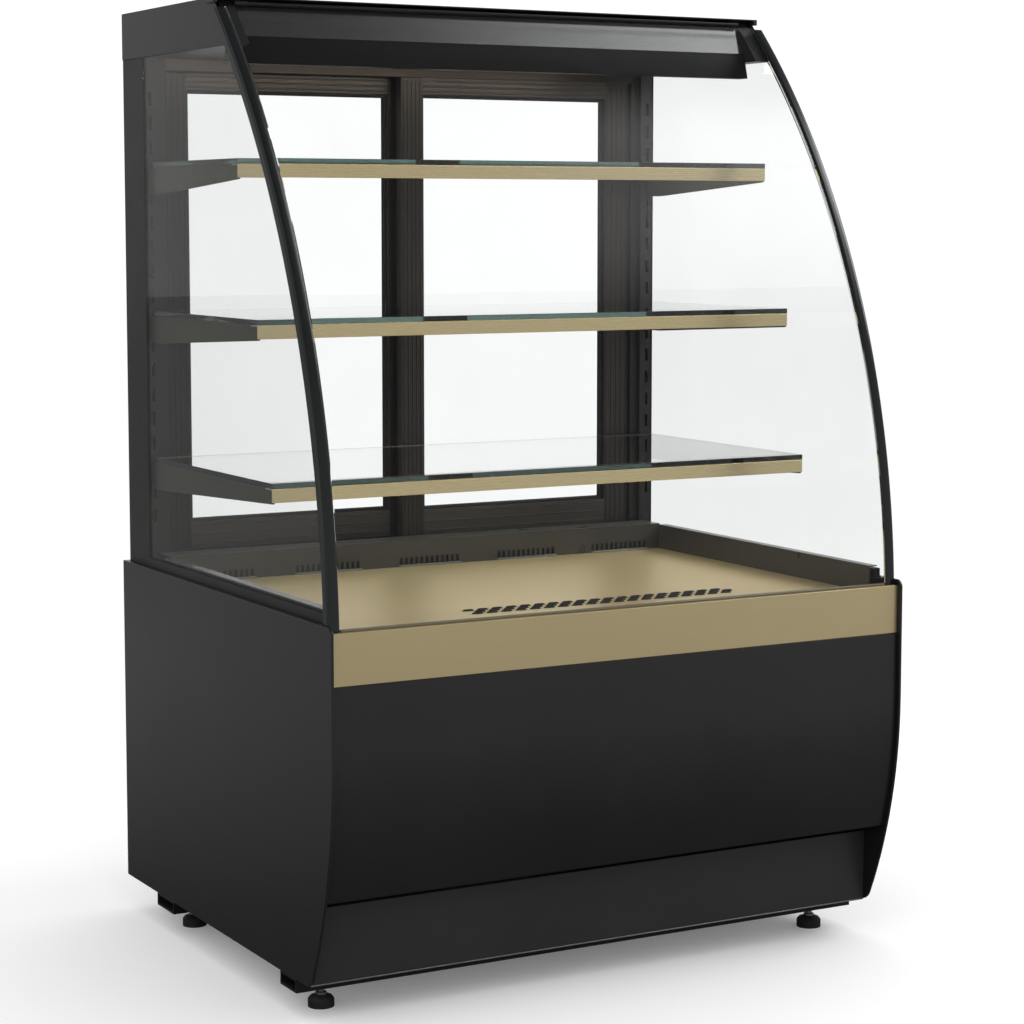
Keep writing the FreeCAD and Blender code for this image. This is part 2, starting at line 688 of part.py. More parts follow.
def make_hinge_pins():
    """Two pins that stand out of the header's end blocks into the hinge bar."""
    outer = rail_half + dim.pin_stand_out
    pins = []
    for name, side in SIDES.items():
        start = on_side(side, outer - dim.pin_long, outer)[0]
        pins.append(cylinder("hinge_pin_" + name, dim.pin_radius, dim.pin_long,
                             (start, hinge_y, hinge_z), "x"))
    keep(group("hinge_pin_pair", *pins), "glass_hinge_pins")


def make_header_shell():
    """Roof of the case: top, rear and underside sheets, two cheeks and the hinge blocks."""
    body = new_body("header_shell")
    sheet, top = dim.header_sheet, dim.height
    roof_front = hinge_y - dim.roof_lap
    cheek_outer, cheek_inset = upper_half + dim.cheek_sheet, dim.hinge_inset
    block_inset, block_rear = dim.block_inset, dim.block_inset + dim.block_deep
    pad(body, "x", (-cheek_outer, cheek_outer), [
        (roof_front, top), (roof_front, top - sheet), (post_rear - sheet, top - sheet),
        (post_rear - sheet, header_low), (post_rear, header_low), (post_rear, top)])
    under_front = curve_y(block_rear, header_low)
    pad(body, "x", (-glass_inner + dim.slide_gap, glass_inner - dim.slide_gap), rectangle(
        (under_front, post_rear - sheet), (header_low, header_low + dim.sheet)))
    for side in SIDES.values():
        pad(body, "x", on_side(side, upper_half, cheek_outer), [
            (post_rear, header_low), (post_rear, top), (roof_front, top),
            (curve_y(cheek_inset, top - sheet), top - sheet, (curve_centre, curve_radius - cheek_inset)),
            (curve_y(cheek_inset, header_low), header_low)])
        pad(body, "x", on_side(side, upper_half, trim_outer), rectangle(
            (roof_front, roof_front + dim.roof_side_deep), (top - dim.hinge_drop, top)))
        pad(body, "x", on_side(side, glass_inner - dim.header_block, glass_inner - dim.slide_gap), [
            (curve_y(block_rear, top - sheet), top - sheet),
            (curve_y(block_inset, top - sheet), top - sheet, (curve_centre, curve_radius - block_inset)),
            (curve_y(block_inset, header_low), header_low), (curve_y(block_rear, header_low), header_low)])


def make_header_front():
    """Sloped fascia and the valance below it, folded from one sheet."""
    body = new_body("header_front")
    sheet, reach = dim.header_sheet, glass_inner - dim.header_block - dim.slide_gap
    top, knee, low = (dim.height - drop for drop in (dim.face_top_drop, dim.face_drop, dim.valance_drop))
    top_y = hinge_y + dim.hinge_radius + dim.roof_lap
    knee_y = top_y - dim.face_lean
    low_y = knee_y - dim.valance_lean
    return_rear = low_y + dim.valance_return
    pad(body, "x", (-reach, reach), [
        (top_y, top), (knee_y, knee), (low_y, low), (return_rear, low), (return_rear, low + sheet),
        (low_y + 1.2 * sheet, low + sheet), (knee_y + 1.1 * sheet, knee), (top_y + 1.15 * sheet, top)])


def make_lamp_strip():
    """Lamp housing under the header, with chamfered lower edges."""
    body = new_body("lamp_strip")
    y = curve_y(dim.block_inset + dim.block_deep, header_low) + dim.lamp_gap
    top, high, y_rear = header_low, dim.lamp_high, y + dim.lamp_deep
    reach = glass_inner - dim.header_block - 10
    chamfer = high / 2
    pad(body, "x", (-reach, reach), [
        (y, top), (y_rear, top), (y_rear, top - chamfer), (y_rear - chamfer, top - high),
        (y + chamfer, top - high), (y, top - chamfer)])


track_front = post_front + dim.track_front_gap
track_step = dim.track_groove + dim.track_rib
track_rear = track_front + 2 * track_step + dim.track_rib


def make_tracks():
    """Twin-groove door tracks: one stands on the cabinet, the other hangs under the header."""
    rib, high = dim.track_rib, dim.track_rib_high
    spans = ((track_front, track_front + rib), (track_front + track_step, track_front + track_step + rib),
             (track_rear - rib, track_rear))
    for label, base, turn in (("bottom_track", dim.base_top, 1), ("top_track", header_low, -1)):
        web, tip = base + turn * dim.channel_web, base + turn * (dim.channel_web + high)
        outline = [(track_front, base), (track_rear, base), (track_rear, tip)]
        outline += [(spans[2][0], tip), (spans[2][0], web), (spans[1][1], web), (spans[1][1], tip)]
        outline += [(spans[1][0], tip), (spans[1][0], web), (spans[0][1], web), (spans[0][1], tip)]
        outline += [(track_front, tip)]
        pad(new_body(label), "x", (-jamb_inner, jamb_inner), outline)


def make_door(name, side, groove):
    """Sliding door: anodised frame, its pane and a flush pull in the outer stile."""
    outer, inner = jamb_inner - dim.door_side_gap, -(dim.door_overlap / 2)
    y_low = track_front + dim.track_rib + groove * track_step + (dim.track_groove - dim.door_thick) / 2
    y_span = (y_low, y_low + dim.door_thick)
    low = dim.base_top + dim.channel_web + dim.slide_gap
    top = header_low - dim.channel_web - dim.door_lift
    open_x = on_side(side, inner + dim.meeting_stile, outer - dim.stile)
    open_z = (low + dim.door_low_rail, top - dim.door_top_rail)
    frame = new_body(name + "_door_frame")
    pad(frame, "y", y_span, rectangle(on_side(side, inner, outer), (low, top)))
    pocket(frame, "y", y_span, rectangle(open_x, open_z))
    pane = new_body(name + "_door_glass")
    pane_y = y_low + dim.door_thick / 2
    pad(pane, "y", (pane_y, pane_y + dim.pane), rectangle(open_x, open_z))
    pull_middle = outer - dim.stile / 2
    pull_x = on_side(side, pull_middle - dim.pull_wide / 2, pull_middle + dim.pull_wide / 2)
    pull_z = (dim.pull_z - dim.pull_high / 2, dim.pull_z + dim.pull_high / 2)
    cup_span, wall = (y_span[1] - dim.pull_deep, y_span[1]), dim.pull_wall
    pocket(frame, "y", cup_span, rectangle(pull_x, pull_z))
    cup = new_body(name + "_door_pull")
    pad(cup, "y", cup_span, rectangle(pull_x, pull_z))
    pocket(cup, "y", (cup_span[0] + wall, cup_span[1]), rectangle(
        (pull_x[0] + wall, pull_x[1] - wall), (pull_z[0] + wall, pull_z[1] - wall)))


# ---------------------------------------------------------------- shelves
shelf_half = half - dim.shelf_side_setback


def make_shelf(name, level, setback):
    """Glass shelf on a folded front rail and a pair of hooked, tapered brackets."""
    top, under = level, level - dim.shelf_glass
    shelf_front = front + setback
    glass = new_body(name + "_shelf_glass")
    pad(glass, "z", (under, top), rectangle(
        (-shelf_half, shelf_half), (shelf_front, post_front - dim.shelf_rear_gap)))
    rail = new_body(name + "_shelf_rail")
    sheet, low = dim.rail_front_sheet, under - dim.rail_front_high
    pad(rail, "x", (-shelf_half, shelf_half), [
        (shelf_front, low), (shelf_front, under), (shelf_front + dim.rail_front_deep, under),
        (shelf_front + dim.rail_front_deep, under - sheet), (shelf_front + sheet, under - sheet),
        (shelf_front + sheet, low)])
    arms = []
    arm_top, arm_front = under - sheet, shelf_front + sheet
    seat = math.floor((arm_top - dim.hook_high - dim.hook_rise - first_slot).value / dim.slot_pitch.value)
    hook_low = first_slot + seat * dim.slot_pitch + dim.hook_rise
    rear_low = arm_top - dim.bracket_rear_high
    if rear_low.value > hook_low.value:
        rear_low = hook_low
    for hand, side in SIDES.items():
        x_span = on_side(side, slot_middle - dim.bracket_thick / 2, slot_middle + dim.bracket_thick / 2)
        arm = doc.addObject("PartDesign::Body", "%s_%s_arm" % (name, hand))
        rest = dim.shelf_rear_gap
        rest_front = arm_front + dim.rail_front_deep - sheet
        pad(arm, "x", x_span, [
            (arm_front, arm_top), (rest_front, arm_top), (rest_front, under), (post_front - rest, under),
            (post_front - rest, arm_top), (post_front, arm_top), (post_front, rear_low),
            (post_front - dim.bracket_heel, rear_low),
            (arm_front, arm_top - dim.bracket_front_high + sheet)])
        pad(arm, "x", x_span, rectangle(
            (post_front, post_front + dim.hook_deep), (hook_low, hook_low + dim.hook_high)))
        arms.append(arm)
    keep(group(name + "_arm_pair", *arms), name + "_shelf_brackets")


# ---------------------------------------------------------------- cooling unit
def make_fan(label, x, y, z):
    """Axial fan: hub, five pitched blades and a shaft stub that runs in its carrier."""
    body = new_body(label)
    deep, hub = dim.fan_deep, dim.fan_hub
    edge, rise, thick = deep / 2 - 3, dim.blade_rise, dim.blade_thick
    pad(body, "y", (-deep / 2, deep / 2), circles=[((0, 0), hub)])
    blade = pad(body, "x", (hub - 4, dim.fan_radius), [
        (-edge, -rise), (thick - edge, -rise), (edge, rise), (edge - thick, rise)])
    doc.recompute()
    axle = next(item for item in body.Origin.OriginFeatures if item.Role == "Y_Axis")
    ring = body.newObject("PartDesign::PolarPattern", label + "_blades")
    ring.Originals = [blade]
    ring.Axis = (axle, [""])
    ring.Angle = 360
    ring.Occurrences = 5
    body.Tip = ring
    doc.recompute()
    pad(body, "y", (deep / 2, deep / 2 + dim.shaft_long), circles=[((0, 0), dim.shaft_radius)])
    place(body, x, y, z)


def make_fan_carrier(label, x, y, z, x_span, z_span, plate_y):
    """Square plate with a round air hole, and a motor on a cross bar behind the fan."""
    hole, sheet = dim.fan_radius + dim.fan_gap, dim.plate
    plate = cut(label + "_ring", box(label + "_plate", x_span, (plate_y, plate_y + sheet), z_span),
                cylinder(label + "_hole", hole, sheet, (x, plate_y, z), "y"))
    motor_y = y + dim.fan_deep / 2 + 6
    bar_y, bar_z, reach = motor_y + 14, (z - 9, z + 9), hole + 14
    bar = box(label + "_bar", (x - reach, x + reach), (bar_y, bar_y + sheet + 1), bar_z)
    legs = []
    for hand, side in SIDES.items():
        near, far = on_side(side, reach - 6, reach)
        legs.append(box("%s_leg_%s" % (label, hand), (x + near, x + far), (plate_y + sheet, bar_y), bar_z))
    motor = cylinder(label + "_motor", dim.motor_radius, dim.motor_long, (x, motor_y, z), "y")
    bore = cylinder(label + "_bore", dim.shaft_radius + dim.running_gap, 16, (x, motor_y, z), "y")
    keep(cut(label + "_body", fuse(label + "_blank", plate, bar, motor, *legs), bore), label)


def make_coil(label, x_span, y_span, z_span, passes):
    """Finned block with round return bends at both ends, drawn as its overall envelope."""
    core = box(label + "_core", (x_span[0] + dim.coil_end, x_span[1] - dim.coil_end), y_span, z_span)
    pitch = (z_span[1] - z_span[0]) / passes
    y = (y_span[0] + y_span[1]) / 2
    tubes = [cylinder("%s_tube_%d" % (label, n), dim.coil_tube, x_span[1] - x_span[0],
                      (x_span[0], y, z_span[0] + pitch * (n + 0.5)), "x") for n in range(passes)]
    keep(fuse(label + "_body", core, *tubes), label)


comp_top = cabinet_floor + dim.comp_high


def make_compressor():
    """Hermetic compressor: rounded can on a foot plate, with its terminal box."""
    body = new_body("compressor")
    x, y, radius = dim.comp_x, dim.comp_y, dim.comp_radius
    foot_top = cabinet_floor + dim.comp_foot_sheet
    pad(body, "z", (cabinet_floor, foot_top), rectangle(
        (x - dim.comp_foot_wide / 2, x + dim.comp_foot_wide / 2),
        (y - dim.comp_foot_deep / 2, y + dim.comp_foot_deep / 2)))
    shell = pad(body, "z", (foot_top, comp_top), circles=[((x, y), radius)])
    doc.recompute()
    names = ["Edge%d" % n for n, edge in enumerate(shell.Shape.Edges, start=1)
             if isinstance(edge.Curve, Part.Circle) and abs(edge.CenterOfMass.z - comp_top.value) < 0.01]
    crown = body.newObject("PartDesign::Fillet", "compressor_crown")
    crown.Base = (shell, names)
    bind(crown, Radius=dim.comp_crown)
    doc.recompute()
    terminal = cabinet_floor + dim.terminal_low
    pad(body, "z", (terminal, terminal + dim.terminal_high), rectangle(
        (x + radius - 14, x + radius + dim.terminal_reach),
        (y - dim.terminal_wide / 2, y + dim.terminal_wide / 2)))


def make_pipe():
    """Suction pipe from the compressor up to the tub, with tangent bends."""
    x, y, bend = dim.comp_x.value, dim.comp_y.value, dim.pipe_bend.value
    start, top = (comp_top + dim.slide_gap).value, (dim.tub_low - dim.pipe_gap).value
    level, far = top - dim.pipe_drop.value, x + dim.pipe_across.value
    near_bend, far_bend = bend * (1 - math.sqrt(0.5)), bend * math.sqrt(0.5)
    path = [
        Part.LineSegment(Vector(x, y, start), Vector(x, y, level - bend)),
        Part.Arc(Vector(x, y, level - bend), Vector(x + near_bend, y, level - near_bend),
                 Vector(x + bend, y, level)),
        Part.LineSegment(Vector(x + bend, y, level), Vector(far - bend, y, level)),
        Part.Arc(Vector(far - bend, y, level), Vector(far - bend + far_bend, y, level + near_bend),
                 Vector(far, y, level + bend)),
        Part.LineSegment(Vector(far, y, level + bend), Vector(far, y, top)),
    ]
    wire = Part.Wire([edge.toShape() for edge in path])
    ring = Part.Wire(Part.Circle(Vector(x, y, start), Vector(0, 0, 1), dim.pipe_radius.value).toShape())
    pipe = doc.addObject("Part::Feature", "refrigerant_pipe")
    pipe.Shape = wire.makePipeShell([ring], True, False)
    keep(pipe, "refrigerant_pipe")


def make_cooling_unit():
    """Condensing set on the cabinet floor, and the evaporator with its fan in the tub."""
    x, y, half_wide, floor = dim.cond_fan_x, dim.cond_fan_y, dim.carrier_half, cabinet_floor
    coil_rear = y - 45
    z_span = (floor, floor + dim.cond_coil_high)
    make_coil("condenser_coil", (x - dim.cond_coil_half, x + dim.cond_coil_half),
              (coil_rear - dim.coil_deep, coil_rear), z_span, 6)
    make_fan("condenser_fan", x, y, dim.cond_fan_z)
    make_fan_carrier("condenser_fan_carrier", x, y, dim.cond_fan_z,
                     (x - half_wide, x + half_wide), z_span, y - 2 * dim.plate)
    x, y, floor = dim.evap_fan_x, dim.evap_fan_y, dim.tub_low + dim.tub_wall
    coil_rear = y - 60
    inner = inner_side - dim.tub_wall
    make_coil("evaporator_coil", (x - dim.evap_coil_half, x + dim.evap_coil_half),
              (coil_rear - dim.evap_coil_deep, coil_rear), (floor, floor + dim.evap_coil_high), 4)
    make_fan("evaporator_fan", x, y, dim.evap_fan_z)
    make_fan_carrier("evaporator_fan_carrier", x, y, dim.evap_fan_z, (-inner, inner),
                     (floor, deck_top - dim.sheet), y - 2 * dim.plate)
    make_compressor()
    make_pipe()


# ---------------------------------------------------------------- controls
rocker_places = {"power_switch": dim.module_x + dim.power_x, "light_switch": dim.module_x + dim.light_x}


def make_control_module():
    """Thermostat module in the rear panel, with two openings for its rocker switches."""
    body = new_body("control_module")
    z, seat, module_front = dim.module_z, dim.slide_gap, rear_face + dim.module_face
    pad(body, "y", (rear_face - dim.module_deep, rear_face), rectangle(*module_spans(-seat)))
    pad(body, "y", (rear_face, module_front), rectangle(*module_spans(dim.module_lap - seat)))
    pocket(body, "y", (rear_face - dim.module_deep, rear_face - dim.panel_sheet), rectangle(
        *module_spans(-seat - dim.module_wall)))
    open_wide, open_high = dim.rocker_wide / 2 + 0.5, dim.rocker_high / 2 + 1.5
    for x in rocker_places.values():
        pocket(body, "y", (rear_face - dim.rocker_seat, module_front), rectangle(
            (x - open_wide, x + open_wide), (z - open_high, z + open_high)))


def make_rocker(label, x):
    """Rocker key, tipped one way about its pin, which bears on the module's opening."""
    body = new_body(label)
    wide, high, pin_depth = dim.rocker_wide / 2, dim.rocker_high / 2, 6
    pad(body, "x", (-wide, wide), [(-9, -4), (-9, 4), (-0.6, high), (0.4, 0), (-0.6, -high)])
    pad(body, "x", (-wide - 0.42, wide + 0.42), circles=[((-pin_depth, 0), 1.5)])
    turn = FreeCAD.Rotation(Vector(1, 0, 0), dim.rocker_tilt.value)
    pivot = Vector(0, -pin_depth, 0)
    shift = pivot - turn.multVec(pivot)
    place(body, x, rear_face + shift.y, dim.module_z + shift.z, turn)


def make_cable_gland():
    """Inlet gland of the mains lead: a flanged sleeve with a through bore."""
    body = new_body("cable_gland")
    radius = dim.gland_radius - dim.slide_gap
    inner, outer = rear_face - dim.panel_sheet - dim.gland_long, rear_face + dim.gland_lip
    centre = (dim.gland_x, dim.gland_z)
    pad(body, "y", (inner, rear_face), circles=[(centre, radius)])
    pad(body, "y", (rear_face, outer), circles=[(centre, radius + dim.gland_flange)])
    pocket(body, "y", (inner, outer), circles=[(centre, dim.gland_bore)])


# ---------------------------------------------------------------- the whole case
def make_case():
    for name, side in SIDES.items():
        make_side_panel(name, side)
        make_post(name, side)
        make_glass_channel(name, side)
        make_side_glass(name, side)
        make_trim(name, side)
    make_front_panel()
    make_front_band()
    make_kick_plate()
    rail_front, rail_rear = front + dim.front_rail_setback, rear - dim.rear_rail_setback
    make_base_rail("front", (rail_front, rail_front + dim.front_rail_deep))
    make_base_rail("rear", (rail_rear - dim.rear_rail_deep, rail_rear))
    for end, name, x, y in foot_places():
        make_foot("%s_%s_foot" % (end, name), x, y)
    make_base_pan()
    make_rear_panel()
    make_tub()
    make_deck_tray()
    make_well_surround()
    make_front_glass()
    make_hinge_rail()
    make_hinge_pins()
    make_header_shell()
    make_header_front()
    make_lamp_strip()
    make_tracks()
    make_door("right", 1, 0)
    make_door("left", -1, 1)
    shelf_low = dim.base_top + dim.shelf_rise
    make_shelf("lower", shelf_low, dim.lower_shelf_setback)
    make_shelf("middle", shelf_low + dim.shelf_step, dim.middle_shelf_setback)
    make_shelf("upper", shelf_low + 2 * dim.shelf_step, dim.upper_shelf_setback)
    make_cooling_unit()
    make_control_module()
    for label, x in rocker_places.items():
        make_rocker(label, x)
    make_cable_gland()


def check_and_write():
    """Stop on any failed object or empty shape, then write one file for each sub-part."""
    doc.recompute()
    for item in doc.Objects:
        if "Invalid" in item.State or "Error" in item.State:
            raise ValueError("failed object: %s %s" % (item.Label, item.State))
    for piece in nodes:
        if piece.Shape.isNull() or not piece.Shape.isValid() or not piece.Shape.Solids:
            raise ValueError("bad shape: " + piece.Label)
    os.makedirs("parts", exist_ok=True)
    for piece in nodes:
        piece.Shape.exportStep("parts/%s.step" % piece.Label)
    print("sub-parts written:", len(nodes))


make_case()
check_and_write()
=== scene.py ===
import json
import math
import bmesh
import bpy
from mathutils import Matrix, Vector


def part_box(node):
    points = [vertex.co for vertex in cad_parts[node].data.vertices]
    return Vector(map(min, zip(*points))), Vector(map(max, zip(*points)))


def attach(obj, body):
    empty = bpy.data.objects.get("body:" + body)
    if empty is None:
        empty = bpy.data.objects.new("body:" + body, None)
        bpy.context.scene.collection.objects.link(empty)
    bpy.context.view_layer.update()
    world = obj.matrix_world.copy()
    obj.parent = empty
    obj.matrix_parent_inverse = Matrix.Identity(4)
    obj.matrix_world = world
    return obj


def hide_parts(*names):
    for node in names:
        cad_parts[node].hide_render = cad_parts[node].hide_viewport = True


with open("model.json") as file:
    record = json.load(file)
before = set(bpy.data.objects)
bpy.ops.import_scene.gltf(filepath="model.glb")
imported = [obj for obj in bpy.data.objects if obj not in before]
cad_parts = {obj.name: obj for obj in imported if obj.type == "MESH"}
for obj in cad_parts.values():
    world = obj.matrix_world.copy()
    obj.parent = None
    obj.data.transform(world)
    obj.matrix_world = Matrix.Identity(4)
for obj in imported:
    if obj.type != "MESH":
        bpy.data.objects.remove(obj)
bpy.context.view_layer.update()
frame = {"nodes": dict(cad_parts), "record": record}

mm = 0.001
print("frame loaded:", len(frame["nodes"]), "nodes")


def boxInMm(node):
    return [[part / mm for part in corner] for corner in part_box(node)]


def addNode(tree, kind, settings=None, **values):
    node = tree.nodes.new(kind)
    for name, value in (settings or {}).items():
        setattr(node, name, value)
    for name, value in values.items():
        node.inputs[name.replace("_", " ")].default_value = value
    return node


def mapped(tree, socket, low, high, settings=None, **values):
    node = addNode(tree, "ShaderNodeMapRange", settings, From_Min=low, From_Max=high, **values)
    tree.links.new(socket, node.inputs["Value"])
    return node


def newGroup(name, inputs, outputs, kind="ShaderNodeTree"):
    tree = bpy.data.node_groups.new(name, kind)
    for label, socketType, default in inputs:
        socket = tree.interface.new_socket(label, in_out="INPUT", socket_type=socketType)
        if default is not None:
            socket.default_value = default
    for label, socketType in outputs:
        tree.interface.new_socket(label, in_out="OUTPUT", socket_type=socketType)
    return tree, tree.nodes.new("NodeGroupInput"), tree.nodes.new("NodeGroupOutput")


# colour and roughness of a group both follow one mask
def varyFinish(tree, enter, leave, mask, secondTint):
    link = tree.links.new
    tint = addNode(tree, "ShaderNodeMix", {"data_type": "RGBA"})
    link(mask.outputs["Result"], tint.inputs["Factor"])
    link(enter.outputs["Tint"], tint.inputs[6])
    link(enter.outputs[secondTint], tint.inputs[7])
    rough = mapped(tree, mask.outputs["Result"], 0.0, 1.0)
    link(enter.outputs["Roughness Low"], rough.inputs["To Min"])
    link(enter.outputs["Roughness High"], rough.inputs["To Max"])
    link(tint.outputs[2], leave.inputs["Color"])
    link(rough.outputs["Result"], leave.inputs["Roughness"])
    return tree


# surface effects shared by many finishes: each puts out a colour, a roughness and a height
def makeGrainGroup():
    tree, enter, leave = newGroup("coatingGrain", [
        ("Vector", "NodeSocketVector", None), ("Grain Scale", "NodeSocketFloat", 900.0),
        ("Cloud Scale", "NodeSocketFloat", 5.0), ("Tint", "NodeSocketColor", (0.02, 0.02, 0.02, 1)),
        ("Cloud Tint", "NodeSocketColor", (0.03, 0.03, 0.03, 1)),
        ("Roughness Low", "NodeSocketFloat", 0.3), ("Roughness High", "NodeSocketFloat", 0.4)],
        [("Color", "NodeSocketColor"), ("Roughness", "NodeSocketFloat"), ("Height", "NodeSocketFloat")])
    link = tree.links.new
    grain = addNode(tree, "ShaderNodeTexNoise", Detail=3.0, Roughness=0.55)
    cloud = addNode(tree, "ShaderNodeTexNoise", Detail=4.0, Roughness=0.6)
    link(enter.outputs["Vector"], grain.inputs["Vector"])
    link(enter.outputs["Vector"], cloud.inputs["Vector"])
    link(enter.outputs["Grain Scale"], grain.inputs["Scale"])
    link(enter.outputs["Cloud Scale"], cloud.inputs["Scale"])
    link(grain.outputs["Fac"], leave.inputs["Height"])
    return varyFinish(tree, enter, leave, mapped(tree, cloud.outputs["Fac"], 0.3, 0.7), "Cloud Tint")


def makeBrushGroup():
    tree, enter, leave = newGroup("brushedGrain", [
        ("Vector", "NodeSocketVector", None), ("Stretch", "NodeSocketVector", (4.0, 900.0, 900.0)),
        ("Tint", "NodeSocketColor", (0.6, 0.5, 0.3, 1)), ("Streak Tint", "NodeSocketColor", (0.5, 0.4, 0.2, 1)),
        ("Roughness Low", "NodeSocketFloat", 0.2), ("Roughness High", "NodeSocketFloat", 0.35)],
        [("Color", "NodeSocketColor"), ("Roughness", "NodeSocketFloat"), ("Height", "NodeSocketFloat")])
    link = tree.links.new
    stretched = addNode(tree, "ShaderNodeVectorMath", {"operation": "MULTIPLY"})
    link(enter.outputs["Vector"], stretched.inputs[0])
    link(enter.outputs["Stretch"], stretched.inputs[1])
    streak = addNode(tree, "ShaderNodeTexNoise", Scale=1.0, Detail=4.0, Roughness=0.6)
    link(stretched.outputs["Vector"], streak.inputs["Vector"])
    wide = addNode(tree, "ShaderNodeTexNoise", Scale=3.5, Detail=2.0)
    link(enter.outputs["Vector"], wide.inputs["Vector"])
    both = addNode(tree, "ShaderNodeMath", {"operation": "MULTIPLY_ADD"})
    both.inputs[1].default_value = 0.6
    link(streak.outputs["Fac"], both.inputs[0])
    fade = addNode(tree, "ShaderNodeMath", {"operation": "MULTIPLY"})
    fade.inputs[1].default_value = 0.4
    link(wide.outputs["Fac"], fade.inputs[0])
    link(fade.outputs[0], both.inputs[2])
    link(streak.outputs["Fac"], leave.inputs["Height"])
    return varyFinish(tree, enter, leave, mapped(tree, both.outputs[0], 0.35, 0.65), "Streak Tint")


def makeDustGroup():
    tree, enter, leave = newGroup("settledDust", [
        ("Vector", "NodeSocketVector", None), ("Amount", "NodeSocketFloat", 0.1),
        ("Color", "NodeSocketColor", (0.02, 0.02, 0.02, 1)),
        ("Dust Tint", "NodeSocketColor", (0.3, 0.29, 0.27, 1)),
        ("Roughness", "NodeSocketFloat", 0.3)],
        [("Color", "NodeSocketColor"), ("Roughness", "NodeSocketFloat")])
    link = tree.links.new
    surface = tree.nodes.new("ShaderNodeNewGeometry")
    split = tree.nodes.new("ShaderNodeSeparateXYZ")
    link(surface.outputs["Normal"], split.inputs[0])
    upward = mapped(tree, split.outputs["Z"], 0.2, 1.0, To_Min=0.15)
    specks = addNode(tree, "ShaderNodeTexNoise", Scale=38.0, Detail=6.0, Roughness=0.7)
    link(enter.outputs["Vector"], specks.inputs["Vector"])
    patch = mapped(tree, specks.outputs["Fac"], 0.42, 0.75)
    mask = addNode(tree, "ShaderNodeMath", {"operation": "MULTIPLY"})
    link(upward.outputs["Result"], mask.inputs[0])
    link(patch.outputs["Result"], mask.inputs[1])
    level = addNode(tree, "ShaderNodeMath", {"operation": "MULTIPLY", "use_clamp": True})
    link(mask.outputs[0], level.inputs[0])
    link(enter.outputs["Amount"], level.inputs[1])
    tint = addNode(tree, "ShaderNodeMix", {"data_type": "RGBA"})
    link(level.outputs[0], tint.inputs["Factor"])
    link(enter.outputs["Color"], tint.inputs[6])
    link(enter.outputs["Dust Tint"], tint.inputs[7])
    rough = addNode(tree, "ShaderNodeMath", {"operation": "MULTIPLY_ADD", "use_clamp": True})
    rough.inputs[1].default_value = 0.5
    link(level.outputs[0], rough.inputs[0])
    link(enter.outputs["Roughness"], rough.inputs[2])
    link(tint.outputs[2], leave.inputs["Color"])
    link(rough.outputs[0], leave.inputs["Roughness"])
    return tree


grainGroup, brushGroup, dustGroup = makeGrainGroup(), makeBrushGroup(), makeDustGroup()


def newMaterial(name, **plain):
    material = bpy.data.materials.new(name)
    material.use_nodes = True
    tree = material.node_tree
    shader = tree.nodes["Principled BSDF"]
    for socket, value in plain.items():
        shader.inputs[socket.replace("_", " ")].default_value = value
    return material, tree, shader


def rgb(red, green, blue):
    return (red, green, blue, 1.0)


def scaled(colour, factor):
    return tuple(part * factor for part in colour)


def placeGroup(tree, group, **values):
    node = tree.nodes.new("ShaderNodeGroup")
    node.node_tree = group
    for name, value in values.items():
        node.inputs[name.replace("_", " ")].default_value = value
    where = tree.nodes.new("ShaderNodeTexCoord")
    tree.links.new(where.outputs["Object"], node.inputs["Vector"])
    return node


def addBump(tree, shader, height, strength, distance):
    bump = addNode(tree, "ShaderNodeBump", Strength=strength, Distance=distance)
    tree.links.new(height, bump.inputs["Height"])
    tree.links.new(bump.outputs["Normal"], shader.inputs["Normal"])


def linkSurface(tree, shader, surface, dust=0.0):
    link = tree.links.new
    if dust:
        settled = placeGroup(tree, dustGroup, Amount=dust)
        link(surface.outputs["Color"], settled.inputs["Color"])
        link(surface.outputs["Roughness"], settled.inputs["Roughness"])
        surface = settled
    link(surface.outputs["Color"], shader.inputs["Base Color"])
    link(surface.outputs["Roughness"], shader.inputs["Roughness"])


def surfaceMaterial(name, group, rough, bump, dust, plain, **values):
    material, tree, shader = newMaterial(name, **plain)
    surface = placeGroup(tree, group, Roughness_Low=rough[0], Roughness_High=rough[1], **values)
    linkSurface(tree, shader, surface, dust)
    addBump(tree, shader, surface.outputs["Height"], *bump)
    return material


def coatedMaterial(name, tint, cloudTint, rough, grain, bump, dust=0.0, cloud=5.0, **plain):
    return surfaceMaterial(name, grainGroup, rough, bump, dust, plain, Tint=rgb(*tint), Cloud_Tint=rgb(*cloudTint),
                           Grain_Scale=grain, Cloud_Scale=cloud)


def brushedMaterial(name, tint, streakTint, rough, stretch, bump, dust=0.0, **plain):
    return surfaceMaterial(name, brushGroup, rough, bump, dust, plain, Tint=rgb(*tint),
                           Streak_Tint=rgb(*streakTint), Stretch=stretch)


def glassMaterial(name, tint, shade, **plain):
    material, tree, shader = newMaterial(name, Transmission_Weight=1.0, Roughness=0.0, **plain)
    surface = placeGroup(tree, grainGroup, Tint=rgb(*tint), Cloud_Tint=rgb(*scaled(tint, 0.98)),
                         Grain_Scale=40.0, Cloud_Scale=6.0)
    link = tree.links.new
    link(surface.outputs["Color"], shader.inputs["Base Color"])
    clear = addNode(tree, "ShaderNodeBsdfTransparent", Color=rgb(*shade))
    path = tree.nodes.new("ShaderNodeLightPath")
    mix = tree.nodes.new("ShaderNodeMixShader")
    link(path.outputs["Is Shadow Ray"], mix.inputs[0])
    link(shader.outputs[0], mix.inputs[1])
    link(clear.outputs[0], mix.inputs[2])
    link(mix.outputs[0], tree.nodes["Material Output"].inputs["Surface"])
    return material


